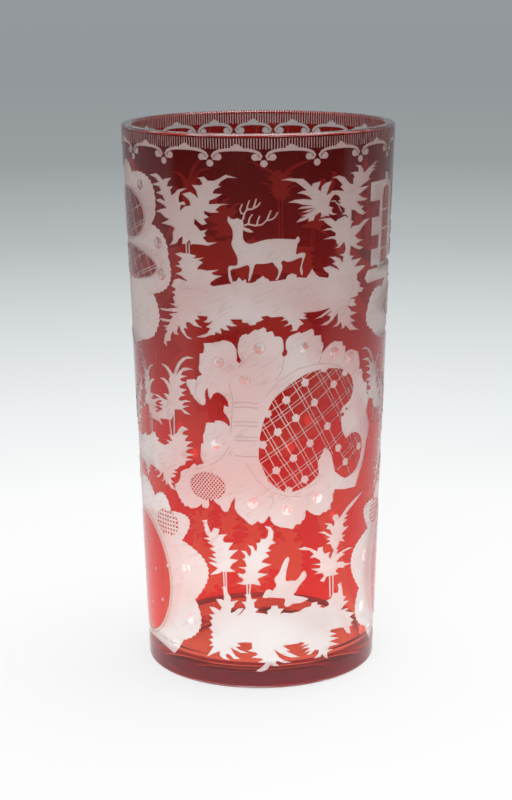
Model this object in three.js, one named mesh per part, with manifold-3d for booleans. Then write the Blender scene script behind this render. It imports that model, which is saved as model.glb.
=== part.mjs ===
// A footless drinking glass in the Bohemian manner: a colourless tapered tumbler with a heavy base,
// cased outside in a thin ruby layer that is cut through in rocaille cartouches and woodland scenes.
// Millimetres, +Z up, standing on z = 0 at the centre of the foot. The stag faces -Y.

import * as THREE from "three";
import { mergeVertices } from "three/addons/utils/BufferGeometryUtils.js";
import Module from "manifold-3d";

const wasm = await Module();
wasm.setup();

// The vessel
const HEIGHT = 154.5;
const RIM_RADIUS = 38;
const FOOT_RADIUS = 32.8;
const WALL_AT_RIM = 2.9;
const WALL_AT_FLOOR = 3.6;
const BASE_THICKNESS = 6.4;
const FLOOR_FILLET = 3.2;
const FOOT_ROUND = 0.8;
const LIP_ROUND = 1.2;
const UNDERCUT_RADIUS = 24.4;
const UNDERCUT_FLAT_RADIUS = 13.3;
const UNDERCUT_DEPTH = 1.6;

// The ruby casing, let into a shallow step of the colourless wall
const CASING_THICKNESS = 0.45;
const CASING_SEAT = 0.06;
const CASING_FROM_FOOT = 1.6;
const CASING_FROM_RIM = 1.3;

// The cutting
const BEAD_RADIUS = 1.8;
const BEAD_DEPTH = 0.6;
const STAR_RADIUS = 1.15;
const LATTICE_ACROSS = 6.4;
const LATTICE_ALONG = 8.8;
const LATTICE_TILT = 36;
const LATTICE_MARGIN = 0.5;
const LATTICE_REACH = 8;
const ARCH_DEGREES = 21.8;
const ARCH_WIDTH = 0.9;
const ARCH_RISE = 1.9;
const ARCH_FROM_RIM = 5.4;
const ARCH_APART = 1.8;
const CURL_LENGTH = 1.7;
const CURL_DEPTH = 1.4;
const PEARL_RADIUS = 0.9;
const PEARL_UNDER_ARCH = 2.6;
const SCENES_UNDER_BORDER = 0.1;
const LEAST_VOLUME = 3;

// How finely the round forms are faceted
const SIDES = 60;
const ARC_SIDES = 3;
const BEAD_SIDES = 8;
const STAR_SIDES = 5;
const WINDOW_SIDES = 20;
const PATCH_SIDES = 14;
const FLAT_WITHIN = 0.005;
const STRAIGHT_BELOW = 0.08;

const RUBY = new THREE.MeshStandardMaterial({ color: 0xb00d1c, roughness: 0.06, metalness: 0 });
const CLEAR = new THREE.MeshStandardMaterial({
  color: 0xf1efec, roughness: 0.08, metalness: 0, transparent: true, opacity: 0.5,
});

// The scenes are drawn on a sheet that wraps the wall from the foot to the border under the rim: s runs
// round the glass to the right from the front, and t runs up from the foot. A unit of s is a fixed angle
// and the drawing's own top meets the border, so that the drawing follows the vessel when it changes.
const UNIT_DEGREES = 1.61871;
const turn = (s) => THREE.MathUtils.degToRad(s * UNIT_DEGREES);
const unitAcross = turn(1) * (RIM_RADIUS + FOOT_RADIUS) / 2;
const outerRadius = (z) => FOOT_RADIUS + ((RIM_RADIUS - FOOT_RADIUS) * z) / HEIGHT;
const borderFrom = HEIGHT - ARCH_FROM_RIM - PEARL_UNDER_ARCH - PEARL_RADIUS;

// Solids and meshes

function solid(geometry) {
  const bare = geometry.clone();
  bare.deleteAttribute("normal");
  bare.deleteAttribute("uv");
  const merged = mergeVertices(bare, 1e-4);
  return new wasm.Manifold(
    new wasm.Mesh({
      numProp: 3,
      vertProperties: new Float32Array(merged.attributes.position.array),
      triVerts: new Uint32Array(merged.index.array),
    }),
  );
}

function meshOf(name, body, material) {
  const { vertProperties, triVerts } = body.asOriginal().simplify(FLAT_WITHIN).getMesh();
  const geometry = new THREE.BufferGeometry();
  geometry.setAttribute("position", new THREE.BufferAttribute(vertProperties, 3));
  geometry.setIndex(new THREE.BufferAttribute(triVerts, 1));
  geometry.computeVertexNormals();
  const mesh = new THREE.Mesh(geometry, material);
  mesh.name = name;
  return mesh;
}

// A closed outline of [radius, height] corners, turned about the axis of the glass.
function turned(outline) {
  const points = outline.map(([r, z]) => new THREE.Vector2(r, z));
  const lathe = new THREE.LatheGeometry(points, SIDES, Math.PI / SIDES);
  return solid(lathe.rotateX(Math.PI / 2));
}

// A quarter round between two directions about a centre, as profile corners.
function roundCorner(r, z, radius, fromDegrees, toDegrees, steps = 3) {
  return Array.from({ length: steps + 1 }, (_, i) => {
    const a = THREE.MathUtils.degToRad(fromDegrees + ((toDegrees - fromDegrees) * i) / steps);
    return [r + radius * Math.cos(a), z + radius * Math.sin(a)];
  });
}

// A cutter: an outline on the sheet, driven through the wall towards the axis at its own mid height,
// so that each of its side walls is flat. heightOf turns the outline's t into millimetres.
const CUT_FROM = 0.4;
const CUT_TO = 2.4;
function cutter(outline, heightOf = up) {
  const flat = new THREE.ExtrudeGeometry(new THREE.Shape(outline), { depth: 1, bevelEnabled: false });
  const heights = outline.map((p) => heightOf(p.y));
  const middle = (Math.min(...heights) + Math.max(...heights)) / 2;
  const at = flat.getAttribute("position");
  for (let i = 0; i < at.count; i++) {
    const z = heightOf(at.getY(i));
    const a = turn(at.getX(i));
    const reach = THREE.MathUtils.lerp(CUT_FROM, CUT_TO, at.getZ(i));
    const r = outerRadius(z) * reach;
    at.setXYZ(i, r * Math.sin(a), -r * Math.cos(a), middle + (z - middle) * reach);
  }
  const body = solid(flat);
  return body.volume() < 0 ? solid(flippedFaces(flat)) : body;
}

function flippedFaces(geometry) {
  const flipped = geometry.clone();
  const at = flipped.getAttribute("position");
  const first = new THREE.Vector3();
  const last = new THREE.Vector3();
  for (let i = 0; i < at.count; i += 3) {
    first.fromBufferAttribute(at, i);
    last.fromBufferAttribute(at, i + 2);
    at.setXYZ(i, last.x, last.y, last.z);
    at.setXYZ(i + 2, first.x, first.y, first.z);
  }
  return flipped;
}

// Outlines on the sheet

// Corners joined by arcs: each entry is [s, t, bulge] and the arc that leads to it swells to the left
// of its path by half its chord times the bulge.
function arcs(path) {
  const points = [];
  path.forEach(([s, t, bulge = 0], i) => {
    const [s0, t0] = path[(i + path.length - 1) % path.length];
    const steps = Math.abs(bulge) > STRAIGHT_BELOW ? ARC_SIDES : 1;
    const chord = new THREE.Vector2(s - s0, t - t0);
    for (let k = 1; k <= steps; k++) {
      const f = k / steps;
      const swell = 2 * f * (1 - f) * bulge;
      points.push(new THREE.Vector2(s0 + chord.x * f - chord.y * swell, t0 + chord.y * f + chord.x * swell));
    }
  });
  return points;
}

function corners(list) {
  return list.map(([s, t]) => new THREE.Vector2(s, t));
}

function disc(s, t, radius, sides = 8, ratio = 1) {
  return Array.from({ length: sides }, (_, i) => {
    const a = (i / sides) * 2 * Math.PI;
    return new THREE.Vector2(s + radius * Math.cos(a), t + radius * ratio * Math.sin(a));
  });
}

// A fan of pointed leaves about one point, every second one shorter, as one jagged outline.
const SHORT_LEAF = 0.76;
const FAN_HEART = 0.3;
function fan(s, t, reach, leaves, from, to) {
  const points = [];
  const spread = (to - from) / (leaves - 1);
  const add = (degrees, r) => {
    const a = THREE.MathUtils.degToRad(degrees);
    points.push(new THREE.Vector2(s + r * Math.cos(a), t + r * Math.sin(a)));
  };
  add(from - spread / 2, reach * FAN_HEART);
  for (let i = 0; i < leaves; i++) {
    add(from + spread * i, reach * (i % 2 ? SHORT_LEAF : 1));
    add(from + spread * (i + 0.5), reach * FAN_HEART);
  }
  return points;
}

// A palm: a crown of leaves and a trunk down to the ground.
const HALF_TRUNK = 0.5;
function palm({ s, crown, ground, reach, leaves = 7 }) {
  const [left, right] = [s - HALF_TRUNK, s + HALF_TRUNK];
  return [
    fan(s, crown, reach, leaves, -28, 208),
    corners([[left, ground], [right, ground], [right, crown], [left, crown]]),
  ];
}

// A bush of leaves that stands on the ground.
const bush = (s, ground, reach, leaves = 7) => fan(s, ground, reach, leaves, 15, 165);

// The ground of a scene, with its tufts above, and leaves that hang below it.
function groundStrip({ from, to, low, high, tufts, sprays }) {
  return [
    arcs([
      [from, high - 0.3], [from + 6, high, 0.1], [to - 5, high + 0.4], [to, high - 1.5, 0.2],
      [to - 1.2, low + 1.4], [to - 5, low, 0.2], [from + 5, low - 0.6], [from - 0.6, low + 1.2, 0.2],
    ]),
    ...tufts.map((s) => fan(s, high - 0.6, 3, 3, 45, 135)),
    ...sprays.map(({ s, reach, leaves = 5 }) => fan(s, low + 1.6, reach, leaves, 196, 344)),
  ];
}

const mirrored = (outline) => outline.map((p) => new THREE.Vector2(-p.x, p.y)).reverse();
const shifted = (outline, ds, dt = 0) => outline.map((p) => new THREE.Vector2(p.x + ds, p.y + dt));

// The columns of the pattern beside the front one, by the place of their middles round the glass
const LEFT = -74.46 / UNIT_DEGREES;
const RIGHT = 97.12 / UNIT_DEGREES;
const BACK = 191.01 / UNIT_DEGREES;
const BACK_CARTOUCHE_UP = 43;

// The border under the rim: a row of arches with a curl at each end and a pearl where two meet. It is
// drawn in millimetres down from the rim; what is left of the turn is shared by narrower arches.
const NARROW_ARCHES = 3;
const FIRST_ARCH = 1.3;
function rimBorder() {
  const arches = [];
  const width = ARCH_DEGREES / UNIT_DEGREES;
  const whole = Math.floor(360 / ARCH_DEGREES) - NARROW_ARCHES + 1;
  const narrow = (360 / UNIT_DEGREES - whole * width) / NARROW_ARCHES;
  let s = FIRST_ARCH - width * Math.floor(whole / 2);
  for (let i = 0; i < whole + NARROW_ARCHES; i++) {
    const across = i < whole ? width : narrow;
    arches.push(arch(s + across / 2, (across - ARCH_APART) / 2));
    arches.push(disc(s, -ARCH_FROM_RIM - PEARL_UNDER_ARCH, PEARL_RADIUS, 5));
    s += across;
  }
  return arches.map((outline) => cutter(outline, (t) => HEIGHT + t));
}

function arch(middle, reach) {
  const line = (f, under) => [middle + f * reach, ARCH_RISE * Math.sqrt(1 - f * f) - ARCH_FROM_RIM - under];
  const curl = (side) => [
    [middle + side * reach, -ARCH_FROM_RIM - CURL_DEPTH],
    [middle + side * (reach - CURL_LENGTH), -ARCH_FROM_RIM - CURL_DEPTH],
    [middle + side * (reach - CURL_LENGTH), -ARCH_FROM_RIM - 0.2],
  ];
  return corners([
    ...[-1, -0.7, 0, 0.7, 1].map((f) => line(f, 0)), ...curl(1),
    ...[0.7, 0, -0.7].map((f) => line(f, ARCH_WIDTH)), ...curl(-1).reverse(),
  ]);
}

// The front column

const stag = corners([
  [-8, 131.8], [-7.7, 133.3], [-6.6, 132.3], [-5.3, 132.7], [-4, 132.2], [-3.9, 130.2], [-1.3, 129],
  [-2.5, 128.7], [-4, 129.4], [-4, 127], [-2.3, 125.8], [1.5, 127], [8.9, 126.8], [9.8, 127.6], [10.4, 126.8],
  [9.7, 125.6], [9.3, 122.8], [11.8, 123.2], [12, 122.4], [11, 119.2], [11.2, 117.2], [10.6, 117.8],
  [10.9, 120.6], [11.1, 121.9], [7, 120.9], [5.6, 121], [5.9, 119.3], [4.8, 116], [4, 116], [5, 118.6],
  [3.4, 121], [-1, 120.6], [-2.2, 115.6], [-3, 115.6], [-2.4, 119.1], [-3, 119.8], [-7.4, 119],
  [-6.8, 115.4], [-7.6, 115.4], [-8, 119.6], [-5.6, 120], [-5.4, 121.8], [-7, 125.4], [-6.5, 128.8],
]);

const bird = corners([
  [0.3, 27.4], [1.9, 29.6], [3.4, 29], [4.5, 30.5], [3.8, 32.3], [5, 34], [6.4, 37.1], [7.7, 38.8],
  [8.2, 37.8], [7.2, 33], [7.5, 31.7], [10, 31.5], [12.7, 34.3], [13.5, 32.6], [9.3, 27.5], [14.4, 25.8],
  [11.8, 24.9], [9.2, 24.9], [7.6, 24.1], [6.8, 25.2], [7, 26.7], [1, 27],
]);

const frontCartouche = arcs([
  [-16.2, 91, 0.2], [-15.3, 97.9, 0.25], [-5.9, 96.2, 0.5], [-5.5, 94], [-5.2, 99, 0.05], [6.2, 98.8, 0.75],
  [6.7, 95.4], [7.1, 99, 0.05], [16.9, 95.3, 0.9], [24.7, 94.8, 0.8], [30.6, 90.3, 0.5], [30.6, 86.1, 0.7],
  [33, 82, 0.5], [34.8, 76.6, 0.45], [36.3, 70.3, 0.4], [34.3, 64, 0.3], [31.2, 58.2, 0.25],
  [30.6, 55.6, 0.3], [22, 55.4, -0.1], [13.1, 51.8, 0.8], [2.5, 51, 0.85], [-7.1, 56, 0.85],
  [-14.3, 54.6, 1], [-17, 53.6, 0.9], [-26.3, 57.6, 0.45], [-24, 61.6, 0.25], [-16.3, 65.1, 0.35],
  [-15.4, 75.6, 0.3], [-8.6, 76, 0.3], [-9.9, 79.2, -0.1], [-8.5, 82, -0.1], [-13.6, 83.6, -0.95],
  [-14.5, 86.6, 0.1], [-15.2, 82.3], [-16.3, 81.2, 0.2], [-21, 86.8, 0.1], [-19.9, 88.3, 0.3],
]);

const frontWindow = arcs([
  [-0.4, 67], [3.5, 83.4, 0.14], [12.5, 90.1, 0.1], [22, 90.7, 0.12], [28.3, 84.9, 0.35], [27.2, 81.2, 0.1],
  [24.2, 79.4], [24, 75.8, -0.2], [26, 70.4, -0.2], [28.4, 71.6], [31.9, 70.3, 0.2], [32.8, 66, 0.2],
  [26, 59, 0.4], [22.3, 61.6, 0.1], [21.3, 65], [18.6, 69, -0.25], [16.4, 65], [16.8, 61.6], [7.5, 57.2, 0.2],
  [2.2, 60.7, 0.1],
]);

const frontBeads = [
  [-11.5, 93.9], [0, 97.7], [11.6, 97.6], [21.3, 95.5], [26.8, 93.2], [-4, 89.2], [-12, 70.6], [-2.2, 54.6],
  [7.6, 52.1], [16.7, 54.5],
];

const frontCuts = [
  stag,
  ...groundStrip({
    from: -23, to: 30.4, low: 107.3, high: 115.4, tufts: [-5, 0.4, 8.5, 13.6],
    sprays: [{ s: -20, reach: 7 }, { s: -11, reach: 5 }, { s: 9, reach: 4.4 }, { s: 23, reach: 6.6 }],
  }),
  ...palm({ s: -22, crown: 137, ground: 130, reach: 6.8, leaves: 9 }),
  ...palm({ s: -14.5, crown: 137.5, ground: 130, reach: 6.8, leaves: 9 }),
  ...palm({ s: -18.6, crown: 128, ground: 116, reach: 5.6 }),
  bush(-18.4, 115, 6.4),
  ...palm({ s: 14.6, crown: 136.6, ground: 132, reach: 7.4, leaves: 9 }),
  ...palm({ s: 24.6, crown: 138, ground: 114, reach: 7.2, leaves: 9 }),
  ...palm({ s: 24.6, crown: 127, ground: 120, reach: 6 }),
  bush(24.6, 115, 6.4),
  frontCartouche,
  bird,
  ...groundStrip({
    from: -15.4, to: 30, low: 14, high: 21.4, tufts: [3.8, 11, 16.5],
    sprays: [{ s: -10.5, reach: 7.4 }, { s: 1.5, reach: 7 }, { s: 19, reach: 6 }, { s: 29, reach: 4 }],
  }),
  ...palm({ s: -11.2, crown: 40, ground: 21, reach: 4.6, leaves: 9 }),
  ...palm({ s: -2.6, crown: 37.4, ground: 21, reach: 4.6, leaves: 9 }),
  ...palm({ s: 23.2, crown: 44, ground: 36, reach: 5.2 }),
  ...palm({ s: 21.6, crown: 35.4, ground: 21, reach: 5.8, leaves: 9 }),
  bush(-11, 20.6, 5.4),
  bush(-3.4, 20.6, 4.6, 5),
  bush(25, 20.6, 5.4, 5),
];

// The other columns, each drawn about its own middle, with cartouches drawn as one half and mirrored
function bothHalves(half) {
  const right = arcs(half);
  return [right, mirrored(right)];
}

const lowCartoucheHalf = [
  [0, 8], [0, 56], [9.5, 52, 0.35], [17.3, 49.2, 0.75], [21.3, 41.5, 1.3], [25.5, 24.9, 0.8], [20.7, 12, 0.6],
  [16, 6.6, 0.1],
];
const highCartoucheHalf = [
  [0, 94], [0, 145.5], [5, 142.5, 0.3], [16, 131.4, 0.75], [14.5, 129.3], [20.4, 121.2, 0.4],
  [13.7, 110.4, 0.6], [12.8, 98.2, 0.45], [7, 96.4, 0.1],
];
const midCartoucheHalf = [
  [0, 95.5], [0, 113.4], [9, 112, 0.4], [18, 110.4, 0.5], [26.5, 105.6, 0.5], [24, 99.6, 0.5], [12, 97, 0.3],
];
const lowWindow = { t: 27.6, across: 15.6, ratio: 1.14 };
const highWindow = { t: 131, across: 11, ratio: 0.62 };
const leftMidWindow = { t: 117.6, across: 15.6, ratio: 0.28 };
const rightMidWindow = { t: 105, across: 15, ratio: 0.32 };
const lowBeads = [[22.5, 33.6], [23.5, 18.8], [17, 9.8], [-22.5, 33.6], [-23.5, 18.8], [-17, 9.8]];
const highBeads = [[9.5, 139.6], [16.6, 124.5], [17.6, 116], [-9.5, 139.6], [-16.6, 124.5], [-17.6, 116]];

const leftCuts = [
  ...bothHalves(lowCartoucheHalf),
  ...bothHalves(highCartoucheHalf),
  ...groundStrip({
    from: -22, to: 19.5, low: 61, high: 69, tufts: [-10, 0],
    sprays: [{ s: -17, reach: 4.4 }, { s: 14.4, reach: 4.4 }],
  }),
  ...palm({ s: 17, crown: 83, ground: 68, reach: 6.6, leaves: 9 }),
  ...palm({ s: 4, crown: 84, ground: 68, reach: 5.6 }),
  ...palm({ s: -15, crown: 83, ground: 68, reach: 6.6 }),
];

const castle = corners([
  [-22, 116], [-22, 117.4], [-25.8, 117.4], [-25.8, 121.6], [-22, 121.6], [-22, 125.4], [-26, 125.4],
  [-26, 130.4], [-22, 130.4], [-22, 134.8], [-26.4, 134.8], [-26.4, 139.6], [-19, 139.6], [-19, 142],
  [-16, 142], [-16, 139.6], [-11, 139.6], [-11, 129], [-5, 129], [-5, 133], [-1.5, 136.6], [2, 133],
  [2, 129], [8, 129], [8, 138.6], [11.5, 143], [15, 138.6], [15, 129], [20, 129], [20, 116],
]);

const rightCuts = [
  ...bothHalves(lowCartoucheHalf),
  ...bothHalves(midCartoucheHalf),
  ...groundStrip({ from: -24, to: 24, low: 113.6, high: 117, tufts: [], sprays: [{ s: 16, reach: 3.6 }] }),
  castle,
  ...groundStrip({
    from: -18, to: 20, low: 62, high: 68, tufts: [-7, 8],
    sprays: [{ s: -13, reach: 4.4 }, { s: 15, reach: 4.4 }],
  }),
  ...palm({ s: -14, crown: 84, ground: 67, reach: 6.6 }),
  ...palm({ s: 0, crown: 81, ground: 67, reach: 6.6 }),
  ...palm({ s: 15, crown: 83, ground: 67, reach: 6.6 }),
];

const backCuts = [
  ...bothHalves(lowCartoucheHalf).map((outline) => shifted(outline, 0, BACK_CARTOUCHE_UP)),
  ...groundStrip({
    from: -25, to: 24, low: 107.3, high: 115.4, tufts: [-8, 8],
    sprays: [{ s: -18, reach: 5 }, { s: 18, reach: 5 }],
  }),
  ...palm({ s: -18, crown: 134, ground: 114, reach: 7.4 }),
  ...palm({ s: 0, crown: 132, ground: 114, reach: 7.4 }),
  ...palm({ s: 18, crown: 135, ground: 114, reach: 7.4 }),
  ...groundStrip({
    from: -22, to: 22, low: 14, high: 21.4, tufts: [-5, 6],
    sprays: [{ s: -15, reach: 5 }, { s: 15, reach: 5 }],
  }),
  ...palm({ s: -15, crown: 37, ground: 21, reach: 6 }),
  ...palm({ s: 15, crown: 38, ground: 21, reach: 6 }),
];

const sceneCuts = [
  ...frontCuts,
  ...leftCuts.map((outline) => shifted(outline, LEFT)),
  ...rightCuts.map((outline) => shifted(outline, RIGHT)),
  ...backCuts.map((outline) => shifted(outline, BACK)),
];

// The drawing's highest point lies just under the border
const drawnUp = Math.max(...sceneCuts.flat().map((p) => p.y));
function up(t) {
  return (t / drawnUp) * (borderFrom - SCENES_UNDER_BORDER);
}

// The colourless vessel

const shoulderLow = CASING_FROM_FOOT;
const shoulderHigh = HEIGHT - CASING_FROM_RIM;
const step = CASING_THICKNESS + CASING_SEAT;
const innerAtRim = RIM_RADIUS - WALL_AT_RIM;
const innerAtFloor = outerRadius(BASE_THICKNESS) - WALL_AT_FLOOR;

function vesselProfile() {
  const lipCentre = HEIGHT - LIP_ROUND;
  return [
    [0, UNDERCUT_DEPTH],
    [UNDERCUT_FLAT_RADIUS, UNDERCUT_DEPTH],
    [UNDERCUT_RADIUS, 0],
    ...roundCorner(FOOT_RADIUS - FOOT_ROUND, FOOT_ROUND, FOOT_ROUND, -90, 0),
    [outerRadius(shoulderLow), shoulderLow],
    [outerRadius(shoulderLow) - step, shoulderLow],
    [outerRadius(shoulderHigh) - step, shoulderHigh],
    [outerRadius(shoulderHigh), shoulderHigh],
    ...roundCorner(RIM_RADIUS - LIP_ROUND, lipCentre, LIP_ROUND, 4, 90),
    ...roundCorner(innerAtRim + LIP_ROUND, lipCentre, LIP_ROUND, 100, 180),
    [innerAtFloor, BASE_THICKNESS + FLOOR_FILLET],
    ...roundCorner(innerAtFloor - FLOOR_FILLET, BASE_THICKNESS + FLOOR_FILLET, FLOOR_FILLET, -25, -90),
    [0, BASE_THICKNESS],
  ];
}

// A polished bead: a shallow round hollow ground into the wall.
function bead([s, t]) {
  const z = up(t);
  const wheel = (BEAD_RADIUS ** 2 + BEAD_DEPTH ** 2) / (2 * BEAD_DEPTH);
  const r = outerRadius(z) - step - BEAD_DEPTH + wheel;
  const reach = Math.asin(BEAD_RADIUS / wheel);
  const onWheel = (f) => new THREE.Vector2(wheel * Math.sin(f * reach), -wheel * Math.cos(f * reach));
  const cap = [0, 0.5, 1, 1.6].map(onWheel);
  const ball = new THREE.LatheGeometry([...cap, new THREE.Vector2(0, cap[3].y)], BEAD_SIDES);
  const stand = new THREE.Matrix4().makeRotationZ(turn(s));
  ball.applyMatrix4(stand).translate(r * Math.sin(turn(s)), -r * Math.cos(turn(s)), z);
  return solid(ball);
}

const moved = (list, ds, dt = 0) => list.map(([s, t]) => [s + ds, t + dt]);
const beads = [
  ...frontBeads,
  ...moved([...lowBeads, ...highBeads], LEFT),
  ...moved(lowBeads, RIGHT),
  ...moved(lowBeads, BACK, BACK_CARTOUCHE_UP),
];
const vessel = turned(vesselProfile()).subtract(wasm.Manifold.union(beads.map(bead)));

// The casing and what is left of it inside the cartouches

const gapUp = CASING_SEAT;
const skin = turned([
  [outerRadius(shoulderLow + gapUp) - CASING_THICKNESS, shoulderLow + gapUp],
  [outerRadius(shoulderLow + gapUp), shoulderLow + gapUp],
  [outerRadius(shoulderHigh - gapUp), shoulderHigh - gapUp],
  [outerRadius(shoulderHigh - gapUp) - CASING_THICKNESS, shoulderHigh - gapUp],
  [outerRadius(shoulderLow + gapUp) - CASING_THICKNESS, shoulderLow + gapUp],
]);

const cuts = wasm.Manifold.union([...rimBorder(), ...sceneCuts.map((outline) => cutter(outline))]);
const pieces = skin.subtract(cuts).decompose().sort((a, b) => b.volume() - a.volume());
const [casing, ...walledIn] = pieces;
const islands = walledIn.filter((piece) => piece.volume() > LEAST_VOLUME);

// A window of ruby left standing inside a cartouche, pierced by the stars of its lattice.
function windowPiece(outline, firstStar) {
  const tilt = THREE.MathUtils.degToRad(LATTICE_TILT);
  const way = (length, x, y) => new THREE.Vector2(x, y).multiplyScalar(length / unitAcross);
  const across = way(LATTICE_ACROSS, Math.cos(tilt), Math.sin(tilt));
  const along = way(LATTICE_ALONG, Math.sin(tilt), -Math.cos(tilt));
  const [s0, t0] = firstStar;
  const stars = [];
  for (let i = -LATTICE_REACH; i <= LATTICE_REACH; i++)
    for (let k = -LATTICE_REACH; k <= LATTICE_REACH; k++) {
      const [s, t] = [s0 + i * across.x + k * along.x, t0 + i * across.y + k * along.y];
      const room = disc(s, t, STAR_RADIUS + LATTICE_MARGIN);
      if (room.every((p) => pointInside(p, outline))) stars.push(cutter(disc(s, t, STAR_RADIUS, STAR_SIDES)));
    }
  const whole = skin.intersect(cutter(outline));
  return stars.length ? whole.subtract(wasm.Manifold.union(stars)) : whole;
}

function pointInside(p, ring) {
  let inside = false;
  for (let i = 0, j = ring.length - 1; i < ring.length; j = i++) {
    const a = ring[i];
    const b = ring[j];
    if (a.y > p.y !== b.y > p.y && p.x < ((b.x - a.x) * (p.y - a.y)) / (b.y - a.y) + a.x) inside = !inside;
  }
  return inside;
}

// An oval window or patch on the sheet; the lattice of a window starts beside its middle.
function latticeOval({ t, across, ratio }, middle, raise = 0) {
  return windowPiece(disc(middle, t + raise, across, WINDOW_SIDES, ratio), [middle + 2, t + raise - 0.6]);
}

function patch({ t, across, ratio }, middle) {
  return skin.intersect(cutter(disc(middle, t, across, PATCH_SIDES, ratio)));
}

const rubyPieces = {
  ruby_window_front: windowPiece(frontWindow, [9.6, 78.1]),
  ruby_window_back: latticeOval(lowWindow, BACK, BACK_CARTOUCHE_UP),
  ruby_window_left_low: latticeOval(lowWindow, LEFT),
  ruby_window_right_low: latticeOval(lowWindow, RIGHT),
  ruby_window_left_high: latticeOval(highWindow, LEFT),
  ruby_window_left_middle: latticeOval(leftMidWindow, LEFT),
  ruby_window_right_middle: latticeOval(rightMidWindow, RIGHT),
  ruby_patch_front: patch({ t: 58.8, across: 5.3, ratio: 0.7 }, -15.2),
  ruby_patch_left: patch({ t: 45.6, across: 4.9, ratio: 0.78 }, LEFT + 15.4),
  ruby_patch_right: patch({ t: 45.6, across: 4.9, ratio: 0.78 }, RIGHT - 15.4),
};

const glass = new THREE.Group();
glass.add(meshOf("clear_body", vessel, CLEAR));
glass.add(meshOf("ruby_casing", casing, RUBY));
for (const [name, body] of Object.entries(rubyPieces)) glass.add(meshOf(name, body, RUBY));
islands.forEach((body, i) => glass.add(meshOf(`ruby_island_${i + 1}`, body, RUBY)));

export default glass;
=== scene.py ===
"""A footless ruby-cased drinking glass with engraved woodland scenes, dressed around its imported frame.

The wall of the glass is drawn as a flat sheet. On it s runs round the glass to the right from the front,
and t runs up from the foot, both in millimetres at half height. The engraver's figures are outlines on that
sheet; they are cut into the clear body, and the ruby layer is what they leave standing.
"""

import logging
import math
from collections.abc import Iterable, Sequence
from dataclasses import dataclass, field, replace
from enum import Enum

import bpy
from mathutils import Matrix, Vector, geometry

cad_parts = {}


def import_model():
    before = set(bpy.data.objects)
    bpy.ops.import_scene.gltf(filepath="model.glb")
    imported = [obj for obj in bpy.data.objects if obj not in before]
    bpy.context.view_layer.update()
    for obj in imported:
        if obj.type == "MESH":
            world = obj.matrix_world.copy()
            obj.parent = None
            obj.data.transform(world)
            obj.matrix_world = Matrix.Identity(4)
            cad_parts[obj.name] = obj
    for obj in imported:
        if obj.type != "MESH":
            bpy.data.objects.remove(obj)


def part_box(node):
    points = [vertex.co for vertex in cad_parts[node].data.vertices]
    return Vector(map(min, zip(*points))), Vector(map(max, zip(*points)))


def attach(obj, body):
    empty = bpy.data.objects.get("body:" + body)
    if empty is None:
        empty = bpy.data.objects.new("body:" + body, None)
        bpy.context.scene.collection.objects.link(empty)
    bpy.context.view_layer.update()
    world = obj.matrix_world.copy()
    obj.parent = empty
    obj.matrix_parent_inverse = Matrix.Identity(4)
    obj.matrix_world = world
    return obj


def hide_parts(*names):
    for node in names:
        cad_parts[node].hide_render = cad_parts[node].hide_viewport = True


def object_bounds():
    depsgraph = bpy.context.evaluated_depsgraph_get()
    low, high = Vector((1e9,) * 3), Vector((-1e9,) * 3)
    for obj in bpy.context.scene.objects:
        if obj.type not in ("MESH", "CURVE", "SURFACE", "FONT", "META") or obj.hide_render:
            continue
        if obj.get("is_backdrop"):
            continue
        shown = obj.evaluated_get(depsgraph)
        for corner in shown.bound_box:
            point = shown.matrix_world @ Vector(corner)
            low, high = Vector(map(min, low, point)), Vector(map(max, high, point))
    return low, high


log = logging.getLogger("ruby_glass")

Point = tuple[float, float]
Outline = list[Point]
Tip = tuple[float, ...]
Triple = tuple[float, float, float]

MM = 0.001
MERGE = 0.003 * MM
SHEET_ROUND = 222.4
BOUNCES = {"max_bounces": 32, "transmission_bounces": 32, "glossy_bounces": 12}


# Drawing on the sheet


class Cut(Enum):
    """What the engraver's wheel leaves at a place on the wall."""

    NONE = "none"
    MATT = "matt"
    GROOVE = "groove"


class Layer(Enum):
    """The separate parts of the ruby layer."""

    CASING = "casing"
    WINDOW_FRONT = "window_front"
    WINDOW_BACK = "window_back"
    WINDOW_LEFT_LOW = "window_left_low"
    WINDOW_RIGHT_LOW = "window_right_low"
    WINDOW_LEFT_HIGH = "window_left_high"
    WINDOW_LEFT_MIDDLE = "window_left_middle"
    WINDOW_RIGHT_MIDDLE = "window_right_middle"
    PATCH_FRONT = "patch_front"
    PATCH_LEFT = "patch_left"
    PATCH_RIGHT = "patch_right"

    @property
    def piece(self) -> str:
        """The name of its piece."""
        return f"ruby_layer_{self.value}"

    @property
    def nodes(self) -> tuple[str, ...]:
        """The nodes of the frame that it stands for; the casing holds the walled-in islands too."""
        islands = ("island_1", "island_2", "island_3") if self is Layer.CASING else ()
        return tuple(f"ruby_{name}" for name in (self.value, *islands))


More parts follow.
